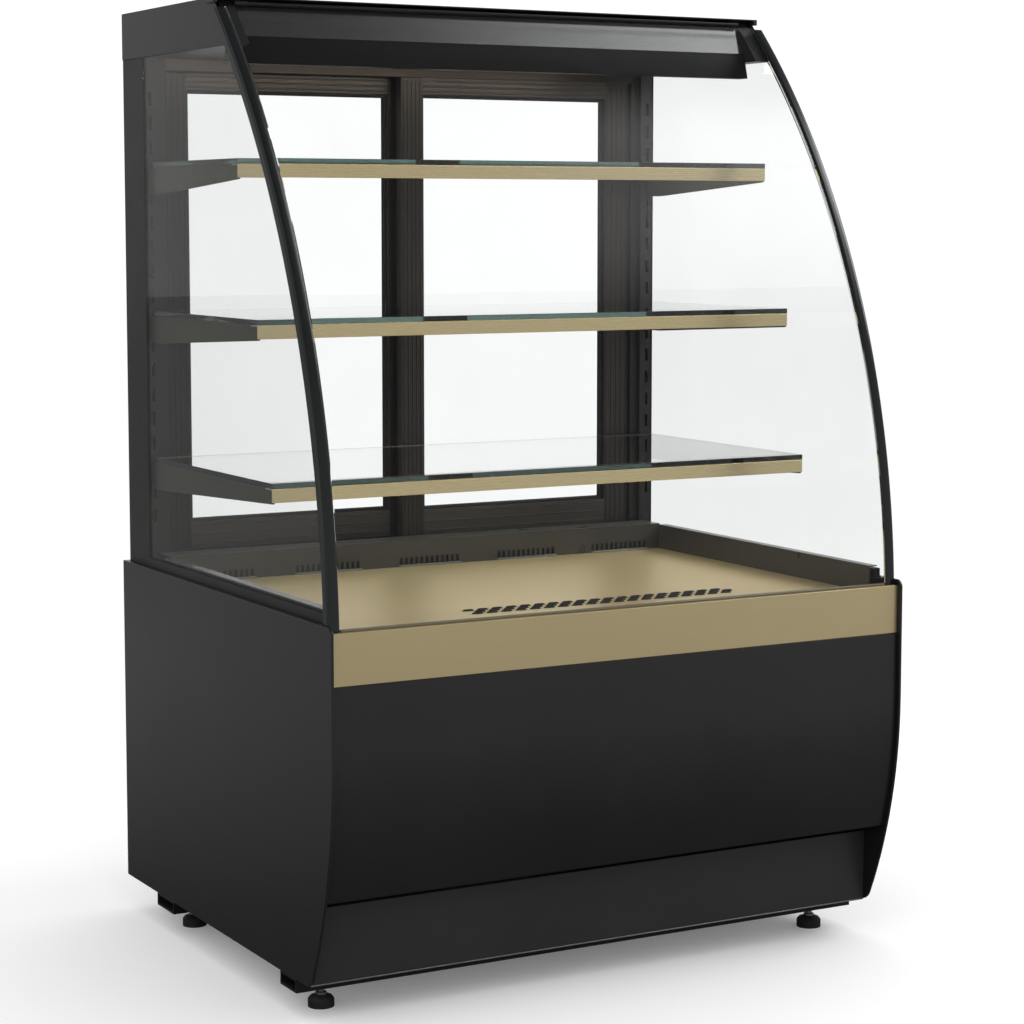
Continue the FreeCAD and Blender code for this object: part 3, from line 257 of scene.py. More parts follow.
def glowMaterial(name, tint, strength, base):
    material, tree, shader = newMaterial(name, Emission_Strength=strength)
    surface = placeGroup(tree, grainGroup, Tint=rgb(*base), Cloud_Tint=rgb(*scaled(base, 0.9)),
                         Grain_Scale=600.0, Roughness_Low=0.25, Roughness_High=0.4)
    linkSurface(tree, shader, surface)
    shader.inputs["Emission Color"].default_value = rgb(*tint)
    return material


goldTint = (0.69, 0.57, 0.33)
finishes = {
    "gloss_black_steel": coatedMaterial("glossBlackPaint", (0.009, 0.009, 0.0095), (0.012, 0.012, 0.0125),
        (0.28, 0.34), 420.0, (0.05, 0.0004), dust=0.02, Specular_IOR_Level=0.5),
    "satin_black_steel": coatedMaterial("satinBlackPaint", (0.010, 0.0095, 0.0095), (0.014, 0.0135, 0.0135),
        (0.36, 0.46), 1400.0, (0.12, 0.0002), dust=0.02, Specular_IOR_Level=0.4),
    "black_profile": coatedMaterial("blackTrimLacquer", (0.006, 0.0075, 0.008), (0.008, 0.010, 0.0105),
        (0.16, 0.22), 700.0, (0.03, 0.0002), Specular_IOR_Level=0.45),
    "gold_band": brushedMaterial("champagneBand", goldTint, scaled(goldTint, 0.975),
        (0.36, 0.42), (6.0, 700.0, 700.0), (0.02, 0.0002), Metallic=1.0),
    "gold_deck": brushedMaterial("champagneDeck", (0.88, 0.69, 0.38), (0.86, 0.672, 0.368),
        (0.38, 0.44), (500.0, 4.0, 500.0), (0.01, 0.0001), Metallic=0.5),
    "gold_shelf_rail": brushedMaterial("champagneShelfRail", scaled(goldTint, 1.2), scaled(goldTint, 1.16),
        (0.24, 0.3), (6.0, 900.0, 900.0), (0.02, 0.0002), Metallic=1.0),
    "liner_grey": coatedMaterial("linerGreyPaint", (0.066, 0.062, 0.056), (0.074, 0.069, 0.063),
        (0.26, 0.33), 1100.0, (0.1, 0.0003), dust=0.01),
    "tub_plastic": coatedMaterial("tubWhitePlastic", (0.62, 0.62, 0.6), (0.55, 0.55, 0.53),
        (0.4, 0.5), 500.0, (0.1, 0.0004)),
    "window_glass": glassMaterial("windowGlass", (0.985, 0.993, 0.99), (0.95, 0.965, 0.96), IOR=1.22),
    "shelf_glass": glassMaterial("shelfGlass", (0.965, 0.985, 0.978), (0.93, 0.955, 0.945), IOR=1.35),
    "bronze_anodised": brushedMaterial("bronzeAnodised", (0.026, 0.0215, 0.019), (0.019, 0.016, 0.014),
        (0.26, 0.36), (900.0, 900.0, 3.0), (0.08, 0.0002), Metallic=0.35),
    "black_plastic": coatedMaterial("mouldedBlackPlastic", (0.012, 0.012, 0.012), (0.018, 0.018, 0.018),
        (0.4, 0.5), 1600.0, (0.2, 0.0003)),
    "rubber_foot": coatedMaterial("blackRubber", (0.011, 0.011, 0.011), (0.02, 0.02, 0.02),
        (0.6, 0.75), 800.0, (0.25, 0.0004), dust=0.25, cloud=30.0),
    "zinc_steel": coatedMaterial("zincPlate", (0.42, 0.43, 0.44), (0.5, 0.51, 0.52),
        (0.28, 0.42), 260.0, (0.08, 0.0003), dust=0.1, cloud=60.0, Metallic=1.0),
    "compressor_black": coatedMaterial("compressorEnamel", (0.012, 0.012, 0.013), (0.02, 0.02, 0.021),
        (0.25, 0.35), 300.0, (0.15, 0.0006), dust=0.3),
    "coil_aluminium": brushedMaterial("finAluminium", (0.62, 0.63, 0.64), (0.52, 0.53, 0.54),
        (0.3, 0.42), (900.0, 900.0, 20.0), (0.1, 0.0002), dust=0.12, Metallic=1.0),
    "copper_pipe": brushedMaterial("drawnCopper", (0.62, 0.3, 0.19), (0.42, 0.19, 0.12),
        (0.25, 0.4), (500.0, 500.0, 6.0), (0.08, 0.0002), Metallic=1.0),
    "lamp_diffuser": glowMaterial("lampDiffuser", (1.0, 0.88, 0.74), 9.0, (0.8, 0.79, 0.76)),
}
# finishes for parts of a slot that look different from the rest of it
glassEdge = glassMaterial("polishedGlassEdge", (0.09, 0.15, 0.135), (0.5, 0.6, 0.57), IOR=1.5)
sideGlass = glassMaterial("sideGlass", (0.93, 0.942, 0.937), (0.93, 0.945, 0.94), IOR=1.25)
fasciaBlack = coatedMaterial("fasciaBlack", (0.010, 0.010, 0.010), (0.012, 0.012, 0.012), (0.13, 0.16),
                             300.0, (0.02, 0.0002), Specular_IOR_Level=1.0, Coat_Weight=1.0, Coat_Roughness=0.1)
valanceBlack = coatedMaterial("valanceBlack", (0.004, 0.004, 0.004), (0.005, 0.005, 0.005), (0.4, 0.5),
                              900.0, (0.05, 0.0002), Specular_IOR_Level=0.12)
# lit and shaded copies of the door bronze: painted light on the right door, more painted light on the rails,
# painted shade on the left door
litDoorBronze = brushedMaterial("bronzeInnerDoor", (0.038, 0.032, 0.028), (0.031, 0.026, 0.0225), (0.26, 0.36),
                            (900.0, 900.0, 3.0), (0.08, 0.0002), Metallic=0.35)
shadedDoorBronze = brushedMaterial("bronzeOuterDoor", (0.014, 0.0117, 0.0103), (0.010, 0.0084, 0.0074), (0.26, 0.36),
                            (900.0, 900.0, 3.0), (0.08, 0.0002), Metallic=0.35)
litDoorRailBronze = brushedMaterial("bronzeDoorRail", (0.078, 0.068, 0.059), (0.066, 0.057, 0.049), (0.26, 0.36),
                           (3.0, 900.0, 900.0), (0.08, 0.0002), Metallic=0.35)
# pale grey for the vent lips: a painted highlight
ventLipHighlight = coatedMaterial("ventLipGrey", (0.25, 0.243, 0.225), (0.29, 0.28, 0.26), (0.3, 0.4),
                         900.0, (0.08, 0.0003))
paneSeal = coatedMaterial("paneSealTan", (0.16, 0.135, 0.085), (0.19, 0.16, 0.10), (0.4, 0.5),
                          1200.0, (0.1, 0.0002))
# a lighter black for the kick plate: painted reflection of the bright surroundings, with light dust
kickPlateSheenPaint = coatedMaterial("kickPlatePaint", (0.027, 0.027, 0.0275), (0.031, 0.031, 0.0315), (0.3, 0.38),
                           420.0, (0.05, 0.0004), dust=0.05)
bracketGold = brushedMaterial("bracketGold", (0.10, 0.095, 0.07), (0.088, 0.083, 0.062), (0.34, 0.42),
                              (3.0, 3.0, 700.0), (0.02, 0.0002), Metallic=0.7)
gasketRubber = coatedMaterial("gasketRubber", (0.009, 0.009, 0.009), (0.014, 0.014, 0.014),
                              (0.5, 0.62), 900.0, (0.15, 0.0003))
darkScrew = coatedMaterial("blackenedScrew", (0.02, 0.02, 0.02), (0.035, 0.034, 0.033), (0.3, 0.42),
                           700.0, (0.1, 0.0003), Metallic=0.6)
trackBronze = brushedMaterial("bronzeAnodisedTrack", (0.045, 0.034, 0.028), (0.032, 0.025, 0.020),
                              (0.26, 0.36), (3.0, 900.0, 900.0), (0.08, 0.0002), dust=0.02, Metallic=0.5)
lensMaterial = coatedMaterial("displayLens", (0.01, 0.004, 0.004), (0.013, 0.006, 0.006), (0.08, 0.12),
                              300.0, (0.02, 0.0002), Coat_Weight=1.0)
digitGlow = glowMaterial("displayDigits", (1.0, 0.12, 0.06), 4.0, (0.3, 0.03, 0.02))
print("finishes made:", len(finishes))

record = frame["record"]
bodyOf = {node: body for body, nodes in record["behaviour"]["bodies"].items() for node in nodes}
slotOf = {part["node"]: part["material_slot"] for part in record["subparts"]}


def camel(text):
    first, *rest = text.split("_")
    return first + "".join(word.capitalize() for word in rest)


def addObject(name, data):
    obj = bpy.data.objects.new(name, data)
    bpy.context.scene.collection.objects.link(obj)
    return obj


def meshPiece(name, points, faces, materials, slots=None, smooth=True):
    mesh = bpy.data.meshes.new(name)
    mesh.from_pydata([tuple(point) for point in points], [], faces)
    for material in materials:
        mesh.materials.append(material)
    if slots:
        mesh.polygons.foreach_set("material_index", slots)
    mesh.polygons.foreach_set("use_smooth", [smooth] * len(mesh.polygons))
    mesh.update()
    return addObject(name, mesh)


# a rectangle with its four corners cut off
def cutCorners(left, low, right, high, cut):
    return [(left + cut, low), (right - cut, low), (right, low + cut), (right, high - cut),
            (right - cut, high), (left + cut, high), (left, high - cut), (left, low + cut)]


# rings of points skinned into a tube: its two caps first, or none where the rings close on themselves
def skinFaces(count, rows, closed=False):
    faces = [] if closed else [list(range(count))[::-1], list(range(count * (rows - 1), count * rows))]
    for row in range(rows if closed else rows - 1):
        here, there = row * count, (row + 1) % rows * count
        for step in range(count):
            after = (step + 1) % count
            faces.append([here + step, here + after, there + after, there + step])
    return faces


# edges sharper than this angle are rounded, or stay sharp in the shading; flatter seams are merged away
edgeRule = {"sharp": math.radians(35.0), "segments": 2, "merge": 2e-6, "flat": math.radians(0.35), "seam": 1e-6}


def softEdges(piece, width):
    bevel = piece.modifiers.new("softEdge", "BEVEL")
    bevel.width, bevel.segments, bevel.limit_method = width * mm, edgeRule["segments"], "ANGLE"
    bevel.angle_limit, bevel.use_clamp_overlap = edgeRule["sharp"], True
    bevel.miter_outer = "MITER_ARC"
    level = piece.modifiers.new("evenShading", "WEIGHTED_NORMAL")
    level.keep_sharp, level.weight = True, 60


def join(piece, body, slot, *nodes):
    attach(piece, body)
    if nodes:
        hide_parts(*nodes)
    return piece


# a copy of a CAD part with rounded edges; its flat faces can be cut at given x, for finishes that change there
def edgedCopy(node, width, materials=None, pickSlot=None, cuts=()):
    shape = bmesh.new()
    shape.from_mesh(bpy.data.objects[node].data)
    bmesh.ops.remove_doubles(shape, verts=shape.verts, dist=edgeRule["merge"])
    for x in cuts:
        bmesh.ops.bisect_plane(shape, geom=shape.verts[:] + shape.edges[:] + shape.faces[:], dist=1e-7,
                               plane_co=(x, 0, 0), plane_no=(1, 0, 0))
    sides = [vert for vert in shape.verts if any(abs(vert.co.x - x) < edgeRule["seam"] for x in cuts)]
    seam = {edge for vert in sides for edge in vert.link_edges if edge.other_vert(vert) in sides}
    bmesh.ops.dissolve_limit(shape, angle_limit=edgeRule["flat"], verts=shape.verts,
                             edges=[edge for edge in shape.edges if edge not in seam])
    shape.verts.index_update()
    points = [vert.co.copy() for vert in shape.verts]
    faces = [[vert.index for vert in face.verts] for face in shape.faces]
    slots = [pickSlot(face) for face in shape.faces] if pickSlot else None
    shape.free()
    piece = meshPiece(camel(node) + "Surface", points, faces, materials or [finishes[slotOf[node]]], slots)
    if width:
        softEdges(piece, width)
    else:
        piece.data.set_sharp_from_angle(angle=edgeRule["sharp"])
    return join(piece, bodyOf[node], slotOf[node], node)


# the case and door parts whose CAD form is right: each gets rounded edges this wide, in millimetres;
# rear_panel and well_surround keep their plain edges, because a rounded copy of them has stray faces
edgeWidths = {
    "left_side_panel": 0.7, "right_side_panel": 0.7, "front_panel": 0.9, "kick_plate": 0.6,
    "front_band": 0.8, "deck_tray": 0.35, "header_shell": 0.9,
    "left_post": 0.4, "right_post": 0.4, "front_rail": 0.8, "rear_rail": 0.8,
    "left_glass_channel": 0.4, "right_glass_channel": 0.4,
    "lower_shelf_rail": 0.8, "middle_shelf_rail": 0.8, "upper_shelf_rail": 0.8,
    "lower_shelf_brackets": 0.5, "middle_shelf_brackets": 0.5, "upper_shelf_brackets": 0.5,
    "left_door_pull": 0.8, "right_door_pull": 0.8, "control_module": 1.0, "top_track": 0.35,
    "bottom_track": 0.35, "glass_hinge_pins": 0.2, "base_pan": 0.5, "insulated_tub": 1.2, "lamp_strip": 1.5,
}
ownFinish = {"glass_hinge_pins": darkScrew, "top_track": trackBronze, "bottom_track": trackBronze,
             "kick_plate": kickPlateSheenPaint, "lower_shelf_brackets": bracketGold,
             "middle_shelf_brackets": bracketGold, "upper_shelf_brackets": bracketGold}
for node, width in edgeWidths.items():
    edgedCopy(node, width, [ownFinish[node]] if node in ownFinish else None)
headerFront = {"edge": 0.8, "slope": 0.4}
edgedCopy("header_front", headerFront["edge"], [fasciaBlack, valanceBlack],
          lambda face: 0 if face.normal.z > headerFront["slope"] else 1)
for node in sorted(frame["nodes"]):
    obj = bpy.data.objects[node]
    obj.data.materials.clear()
    obj.data.materials.append(finishes[slotOf[node]])
print("case parts finished:", len(edgeWidths))


# glass: faces across the thickness take the darker polished-edge finish
def edgeFace(axis):
    return lambda face: 0 if abs(face.normal[axis]) > 0.9 else 1


thicknessAxis = {"lower_shelf_glass": 2, "middle_shelf_glass": 2, "upper_shelf_glass": 2,
                 "left_side_glass": 0, "right_side_glass": 0, "left_door_glass": 1, "right_door_glass": 1}
for node, axis in thicknessAxis.items():
    pane = sideGlass if axis == 0 else finishes[slotOf[node]]
    edgedCopy(node, 0.6, [pane, glassEdge], edgeFace(axis))


# the curved front: bars drawn upright, then laid on the front's arc by one shared tree
frontArc = {"centreY": 0.913418, "centreZ": 0.5165, "radius": 1.295418, "rows": 120,
            "low": 0.5631, "trimTop": 1.424, "glassTop": 1.426}


def endTree(tree, geometry, enter, leave):
    real = tree.nodes.new("GeometryNodeRealizeInstances")
    tree.links.new(geometry, real.inputs[0])
    paint = tree.nodes.new("GeometryNodeSetMaterial")
    tree.links.new(real.outputs[0], paint.inputs["Geometry"])
    tree.links.new(enter.outputs["Finish"], paint.inputs["Material"])
    tree.links.new(paint.outputs[0], leave.inputs[0])
    return tree


def makeBendTree():
    tree, enter, leave = newGroup("layOnFrontArc", [
        ("Geometry", "NodeSocketGeometry", None), ("Centre Y", "NodeSocketFloat", 0.9),
        ("Centre Z", "NodeSocketFloat", 0.5), ("Radius", "NodeSocketFloat", 1.3),
        ("Finish", "NodeSocketMaterial", None)], [("Geometry", "NodeSocketGeometry")], "GeometryNodeTree")
    link = tree.links.new

    def compute(operation, *values):
        node = addNode(tree, "ShaderNodeMath", {"operation": operation})
        for socket, value in zip(node.inputs, values):
            link(value, socket)
        return node.outputs[0]

    where = tree.nodes.new("GeometryNodeInputPosition")
    split = tree.nodes.new("ShaderNodeSeparateXYZ")
    link(where.outputs[0], split.inputs[0])
    reach = compute("SUBTRACT", enter.outputs["Radius"], split.outputs["Y"])
    lift = compute("SUBTRACT", split.outputs["Z"], enter.outputs["Centre Z"])
    inside = compute("SUBTRACT", compute("MULTIPLY", reach, reach), compute("MULTIPLY", lift, lift))
    across = compute("SUBTRACT", enter.outputs["Centre Y"], compute("SQRT", inside))
    place = tree.nodes.new("ShaderNodeCombineXYZ")
    link(split.outputs["X"], place.inputs[0])
    link(across, place.inputs[1])
    link(split.outputs["Z"], place.inputs[2])
    move = tree.nodes.new("GeometryNodeSetPosition")
    link(enter.outputs["Geometry"], move.inputs["Geometry"])
    link(place.outputs[0], move.inputs["Position"])
    return endTree(tree, move.outputs[0], enter, leave)


def makeGridTree():
    tree, enter, leave = newGroup("repeatInGrid", [
        ("Geometry", "NodeSocketGeometry", None), ("Start", "NodeSocketVector", None),
        ("Columns", "NodeSocketInt", 2), ("Column Step", "NodeSocketVector", None),
        ("Rows", "NodeSocketInt", 1), ("Row Step", "NodeSocketVector", None),
        ("Finish", "NodeSocketMaterial", None)], [("Geometry", "NodeSocketGeometry")], "GeometryNodeTree")
    link = tree.links.new
    across = addNode(tree, "GeometryNodeMeshLine", {"mode": "OFFSET"})
    link(enter.outputs["Columns"], across.inputs["Count"])
    link(enter.outputs["Start"], across.inputs["Start Location"])
    link(enter.outputs["Column Step"], across.inputs["Offset"])
    down = addNode(tree, "GeometryNodeMeshLine", {"mode": "OFFSET"})
    link(enter.outputs["Rows"], down.inputs["Count"])
    link(enter.outputs["Row Step"], down.inputs["Offset"])
    first = tree.nodes.new("GeometryNodeInstanceOnPoints")
    link(across.outputs[0], first.inputs["Points"])
    link(enter.outputs["Geometry"], first.inputs["Instance"])
    second = tree.nodes.new("GeometryNodeInstanceOnPoints")
    link(down.outputs[0], second.inputs["Points"])
    link(first.outputs[0], second.inputs["Instance"])
    return endTree(tree, second.outputs[0], enter, leave)


bendTree, gridTree = makeBendTree(), makeGridTree()


def runTree(name, item, tree, **values):
    modifier = item.modifiers.new(tree.name, "NODES")
    modifier.node_group = tree
    for socket in tree.interface.items_tree:
        if socket.item_type == "SOCKET" and socket.in_out == "INPUT" and socket.name.replace(" ", "") in values:
            modifier[socket.identifier] = values[socket.name.replace(" ", "")]
    bpy.context.view_layer.update()
    graph = bpy.context.evaluated_depsgraph_get()
    mesh = bpy.data.meshes.new_from_object(item.evaluated_get(graph))
    mesh.name = name
    bpy.data.objects.remove(item)
    return addObject(name, mesh)


# normals turned outwards, and a sharp crease wherever the surface turns by more than the angle
def outward(piece, angle=30.0):
    shape = bmesh.new()
    shape.from_mesh(piece.data)
    bmesh.ops.remove_doubles(shape, verts=shape.verts, dist=1e-6)
    bmesh.ops.recalc_face_normals(shape, faces=shape.faces)
    shape.to_mesh(piece.data)
    shape.free()
    piece.data.polygons.foreach_set("use_smooth", [True] * len(piece.data.polygons))
    piece.data.set_sharp_from_angle(angle=math.radians(angle))
    return piece


def layOnFront(name, outline, top, finish):
    low, rows = frontArc["low"], frontArc["rows"]
    heights = [low + (top - low) * step / rows for step in range(rows + 1)]
    points = [(x * mm, inset * mm, z) for z in heights for x, inset in outline]
    bar = meshPiece(name + "Bar", points, skinFaces(len(outline), rows + 1), [finish])
    return outward(runTree(name, bar, bendTree, CentreY=frontArc["centreY"], CentreZ=frontArc["centreZ"],
                           Radius=frontArc["radius"], Finish=finish))


# the curved pane lies 1 to 7 mm inside the trims' outer face, with ground corners
paneShape = {"half": 459.7, "outer": 1.0, "inner": 7.0, "ground": 0.8}
s = paneShape
pane = layOnFront("frontPane", cutCorners(-s["half"], s["outer"], s["half"], s["inner"], s["ground"]),
                  frontArc["glassTop"], finishes["window_glass"])
join(pane, "front_window", "window_glass", "front_glass")

# each trim: a crowned front strip 4 mm thick, a shadow groove, and a leg back along the pane's edge
trimShape = {"inner": 460.0, "outer": 475.7, "thick": 4.0, "leg": 470.6, "deep": 20.0, "crown": 1.1,
             "crownSteps": 8, "shoulder": 1.6, "groove": 0.7}


def trimOutline(side):
    near, far, leg, thick, deep = (trimShape[key] for key in ("inner", "outer", "leg", "thick", "deep"))
    shoulder, notch, steps = trimShape["shoulder"], far - trimShape["groove"], trimShape["crownSteps"]
    outline = [(near, shoulder)]
    for step in range(steps + 1):
        share = step / steps
        outline.append((near + 0.5 + (far - near - 1.3) * share,
                        trimShape["crown"] * (2 * share - 1) ** 4 * 0.9 + 0.05))
    outline += [(far - 0.15, 1.0), (far, shoulder), (far, 5.2), (notch, 5.7), (notch, 6.9), (far, 7.4),
                (far, deep - 0.5), (far - 0.5, deep), (leg + 0.4, deep), (leg, deep - 0.4),
                (leg, thick), (near + 0.3, thick), (near, thick - 0.3)]
    return [(side * x, inset) for x, inset in outline]


for side, label in ((-1, "left"), (1, "right")):
    trim = layOnFront(label + "FrontTrim", trimOutline(side), frontArc["trimTop"], finishes["black_profile"])
    join(trim, "front_window", "black_profile", label + "_glass_trim")
print("curved front laid")


def lathe(name, rings, sides, finish, turn):
    points = []
    for radius, height in rings:
        for step in range(sides):
            angle = 2 * math.pi * step / sides
            across, up = radius * mm * math.cos(angle), radius * mm * math.sin(angle)
            points.append(turn @ Vector((across, up, height * mm)))
    return meshPiece(name, points, skinFaces(sides, len(rings)), [finish])


def loftLoops(name, loops, finish, closed=False):
    points = [tuple(part * mm for part in point) for loop in loops for point in loop]
    return meshPiece(name, points, skinFaces(len(loops[0]), len(loops), closed), [finish])


def grid(name, item, start, columns, columnStep, finish, rows=1, rowStep=(0, 0, 0)):
    piece = runTree(name, item, gridTree, Start=[part * mm for part in start], Columns=columns,
                    ColumnStep=[part * mm for part in columnStep], Rows=rows,
                    RowStep=[part * mm for part in rowStep], Finish=finish)
    return outward(piece)


towardRear = Matrix.Rotation(math.radians(-90), 3, "X")
rearFace = 394.0

# socket-head screws that hold the rear panel to the side panels
rearScrews = {"radius": 3.6, "head": 1.7, "socket": 1.5, "x": 446.0, "lowest": 76.0, "pitch": 118.5, "rows": 5}
s = rearScrews
head = [(s["radius"], 0.0), (s["radius"], s["head"] * 0.55), (s["radius"] * 0.8, s["head"]),
        (s["socket"] * 1.1, s["head"]), (s["socket"], s["head"] * 0.35), (0.05, s["head"] * 0.3)]
screws = grid("rearPanelScrews", lathe("screwItem", head, 12, darkScrew, towardRear),
              (-s["x"], rearFace, s["lowest"]), 2, (2 * s["x"], 0, 0), darkScrew, s["rows"], (0, 0, s["pitch"]))
join(screws, "case", "satin_black_steel")

# pressed hoods over the louvre slots in the rear panel
louvres = {"half": 151.0, "taper": 5.0, "x": 215.0, "first": 100.0, "pitch": 18.0, "rows": 11, "proud": 1.9,
           "middle": 4.6, "closed": 0.04}
s = louvres
section = [(0.0, 10.0), (s["proud"] * 0.55, 7.6), (s["proud"] * 0.95, 4.4), (s["proud"], 1.6),
           (s["proud"] * 0.8, 1.2), (s["proud"] * 0.6, 3.8), (0.0, 5.2)]
full = s["half"] - s["taper"]
hoodLoops = []
for x, grow in ((-s["half"], s["closed"]), (-full, 1.0), (full, 1.0), (s["half"], s["closed"])):
    hoodLoops.append([(x, rise * grow, s["middle"] + (z - s["middle"]) * (0.5 + 0.5 * grow))
                      for rise, z in section])
hoods = grid("rearLouvreHoods", loftLoops("hoodItem", hoodLoops, finishes["satin_black_steel"]),
             (-s["x"], rearFace, s["first"]), 2, (2 * s["x"], 0, 0), finishes["satin_black_steel"],
             s["rows"], (0, 0, s["pitch"]))
join(hoods, "case", "satin_black_steel")

# thin fins across both coils: how far each reaches past its coil in Y, how far it stays inside in Z, and the pitch
finShape = {"thick": 0.35, "chamfer": 3.0, "clear": 12}
halfFin = finShape["thick"] / 2
coils = {"condenser_coil": (1.0, 4.0, 2.6), "evaporator_coil": (1.2, 3.0, 5.0)}
for node, (past, inside, pitch) in coils.items():
    low, high = boxInMm(node)
    count = int((high[0] - low[0] - finShape["clear"]) / pitch)
    loop = cutCorners(low[1] - past, low[2] + inside, high[1] + past, high[2] - inside, finShape["chamfer"])
    fin = loftLoops(node + "Fin", [[(x, y, z) for y, z in loop] for x in (-halfFin, halfFin)],
                    finishes["coil_aluminium"])
    fins = grid(camel(node) + "Fins", fin, ((low[0] + high[0] - (count - 1) * pitch) / 2, 0, 0), count,
                (pitch, 0, 0), finishes["coil_aluminium"])
    join(fins, "case", "coil_aluminium")

# black grommets round the deck's air slots, staggered row by row; their black also stands in as painted shade for
# the dark slot openings
deckSlots = {"long": 14.0, "wide": 6.0, "rim": 1.7, "proud": 1.7, "sunk": -0.6, "inside": -0.2, "pitch": 24.0,
             "perRow": 19, "rows": 3, "firstY": -246.0, "rowStep": 15.0, "middleX": 40.0, "deck": 549.0}
s = deckSlots


def slotLoop(grow, height):
    radius, straight = deckSlots["wide"] / 2 + grow, (deckSlots["long"] - deckSlots["wide"]) / 2
    loop = []
    for side in (1, -1):
        for step in range(7):
            angle = math.radians(-90 + 30 * step)
            loop.append((side * (straight + radius * math.cos(angle)), side * radius * math.sin(angle), height))
    return loop


rimSection = [(s["inside"], s["sunk"]), (s["inside"], s["proud"] * 0.7), (0.3, s["proud"]),
              (s["rim"], s["proud"] * 0.5), (s["rim"], s["sunk"])]
for row in range(s["rows"]):
    shift = 0.0 if row % 2 == 0 else s["pitch"] / 2
    rim = loftLoops("rimItem", [slotLoop(*place) for place in rimSection], gasketRubber, closed=True)
    firstX = s["middleX"] - (s["perRow"] - 1) * s["pitch"] / 2 + shift
    rims = grid("deckSlotRims%d" % (row + 1), rim, (firstX, s["firstY"] + row * s["rowStep"], s["deck"]),
                s["perRow"], (s["pitch"], 0, 0), gasketRubber)
    join(rims, "case", "black_plastic")


# a bar along X with its long edges and ends chamfered
def chamferedBar(name, low, high, finish, corner=0.8):
    (x0, y0, z0), (x1, y1, z1) = low, high
    loop = cutCorners(y0, z0, y1, z1, corner)
    middleY, middleZ = (y0 + y1) / 2, (z0 + z1) / 2
    loops = []
    for x, grow in ((x0, 0.9), (x0 + corner, 1.0), (x1 - corner, 1.0), (x1, 0.9)):
        loops.append([(x, middleY + (y - middleY) * grow, middleZ + (z - middleZ) * grow) for y, z in loop])
    return outward(loftLoops(name, loops, finish), 40.0)


# dark sheets under the deck's slots and behind the rear wall's vents: painted shade for the ducts' dark insides
shadeSheets = {"deckReturnScreen": ((-205.0, -264.0, 540.0), (285.0, -198.0, 543.0)),
           "rearDuctScreen": ((-436.0, 256.0, 549.5), (436.0, 258.0, 574.0))}
for name, (low, high) in shadeSheets.items():
    join(chamferedBar(name, low, high, gasketRubber), "case", "black_plastic")

# folded lips under the rear wall's vents, pale grey as a painted highlight along them
ventLips = {"half": 57.0, "pitch": 183.0, "groups": 5, "wall": 250.0, "proud": 7.0, "low": 549.3, "high": 552.0}
s = ventLips
lip = chamferedBar("lipItem", (-s["half"], s["wall"] - s["proud"], s["low"]),
                   (s["half"], s["wall"] + 0.2, s["high"]), ventLipHighlight, 0.4)
lips = grid("rearVentLips", lip, (-(s["groups"] - 1) / 2 * s["pitch"], 0, 0), s["groups"],
            (s["pitch"], 0, 0), ventLipHighlight)
join(lips, "case", "liner_grey")

# hinge bar along the curved pane's top edge
hinge = {"y": 8.263, "z": 1432.0, "radius": 3.6, "half": 438.0, "chamfer": 0.8, "sides": 28}
s = hinge
alongX = Matrix.Rotation(math.radians(90), 3, "Y")
barRings = [(s["radius"] - s["chamfer"], -s["half"]), (s["radius"], -s["half"] + s["chamfer"]),
            (s["radius"], s["half"] - s["chamfer"]), (s["radius"] - s["chamfer"], s["half"])]
bar = lathe("paneHingeBar", barRings, s["sides"], finishes["black_profile"], alongX)
bar.data.transform(Matrix.Translation((0.0, s["y"] * mm, s["z"] * mm)))
join(outward(bar), "front_window", "black_profile", "glass_hinge_rail")

# black end caps on the lamp
lampCap = {"long": 14, "over": 0.6, "chamfer": 1.5}
lampLow, lampHigh = boxInMm("lamp_strip")
s = lampCap
for label, near, far in (("left", lampLow[0] - s["over"], lampLow[0] + s["long"]),
                         ("right", lampHigh[0] - s["long"], lampHigh[0] + s["over"])):
    cap = chamferedBar(label + "LampCap", (near, lampLow[1] - s["over"], lampLow[2] - s["over"]),
                       (far, lampHigh[1] + s["over"], lampHigh[2]), finishes["black_plastic"], s["chamfer"])
    join(cap, "case", "black_plastic")

# tan lip seal under the curved pane, lying on the deck's front edge
sealShape = {"inset": 2, "front": -381.0, "rear": -371.6, "low": 563.0, "high": 565.6, "chamfer": 0.5}
paneLow, paneHigh = boxInMm("front_glass")
s = sealShape
seal = chamferedBar("frontPaneSeal", (paneLow[0] + s["inset"], s["front"], s["low"]),
                    (paneHigh[0] - s["inset"], s["rear"], s["high"]), paneSeal, s["chamfer"])
join(seal, "front_window", "black_plastic")
print("fixings, hoods, fins, grommets and seals made")


# a frame of any section, mitred at its four corners
def frameRing(name, low, high, wide, face, reach, section, finish):
    corners = ((low[0], low[2], wide, wide), (high[0], low[2], -wide, wide), (high[0], high[2], -wide, -wide),
               (low[0], high[2], wide, -wide))
    loops = [[(x + turnX * share, face + reach * deep, z + turnZ * share) for share, deep in section]
             for x, z, turnX, turnZ in corners]
    return outward(loftLoops(name, loops, finish, closed=True))


# glazing beads on both faces of each door pane
beads = {"wide": 5.5, "deep": 3.6}
beadSection = [(0.0, 0.0), (1.0, 0.0), (1.0, 0.35), (0.75, 0.8), (0.35, 1.0), (0.0, 1.0)]
for label in ("left", "right"):
    low, high = boxInMm(label + "_door_glass")
    for word, face, reach in (("Front", low[1], -beads["deep"]), ("Rear", high[1], beads["deep"])):
        bead = frameRing(label + "Door" + word + "Bead", low, high, beads["wide"], face, reach, beadSection,
                         gasketRubber)
        join(bead, label + "_door", "black_plastic")

# raised ribs along the stiles and rails of each door, on the customer's side
ribShape = {"proud": 1.0, "wide": 3.2, "clear": 3.0, "onStile": 5, "onRail": 3, "edge": 0.6, "endClear": 36,
            "paneClear": 2, "footClear": 18, "headClear": 14}
ribClear = ribShape["clear"] + ribShape["wide"] / 2
ribSpan = 2 * ribShape["clear"] + ribShape["wide"]


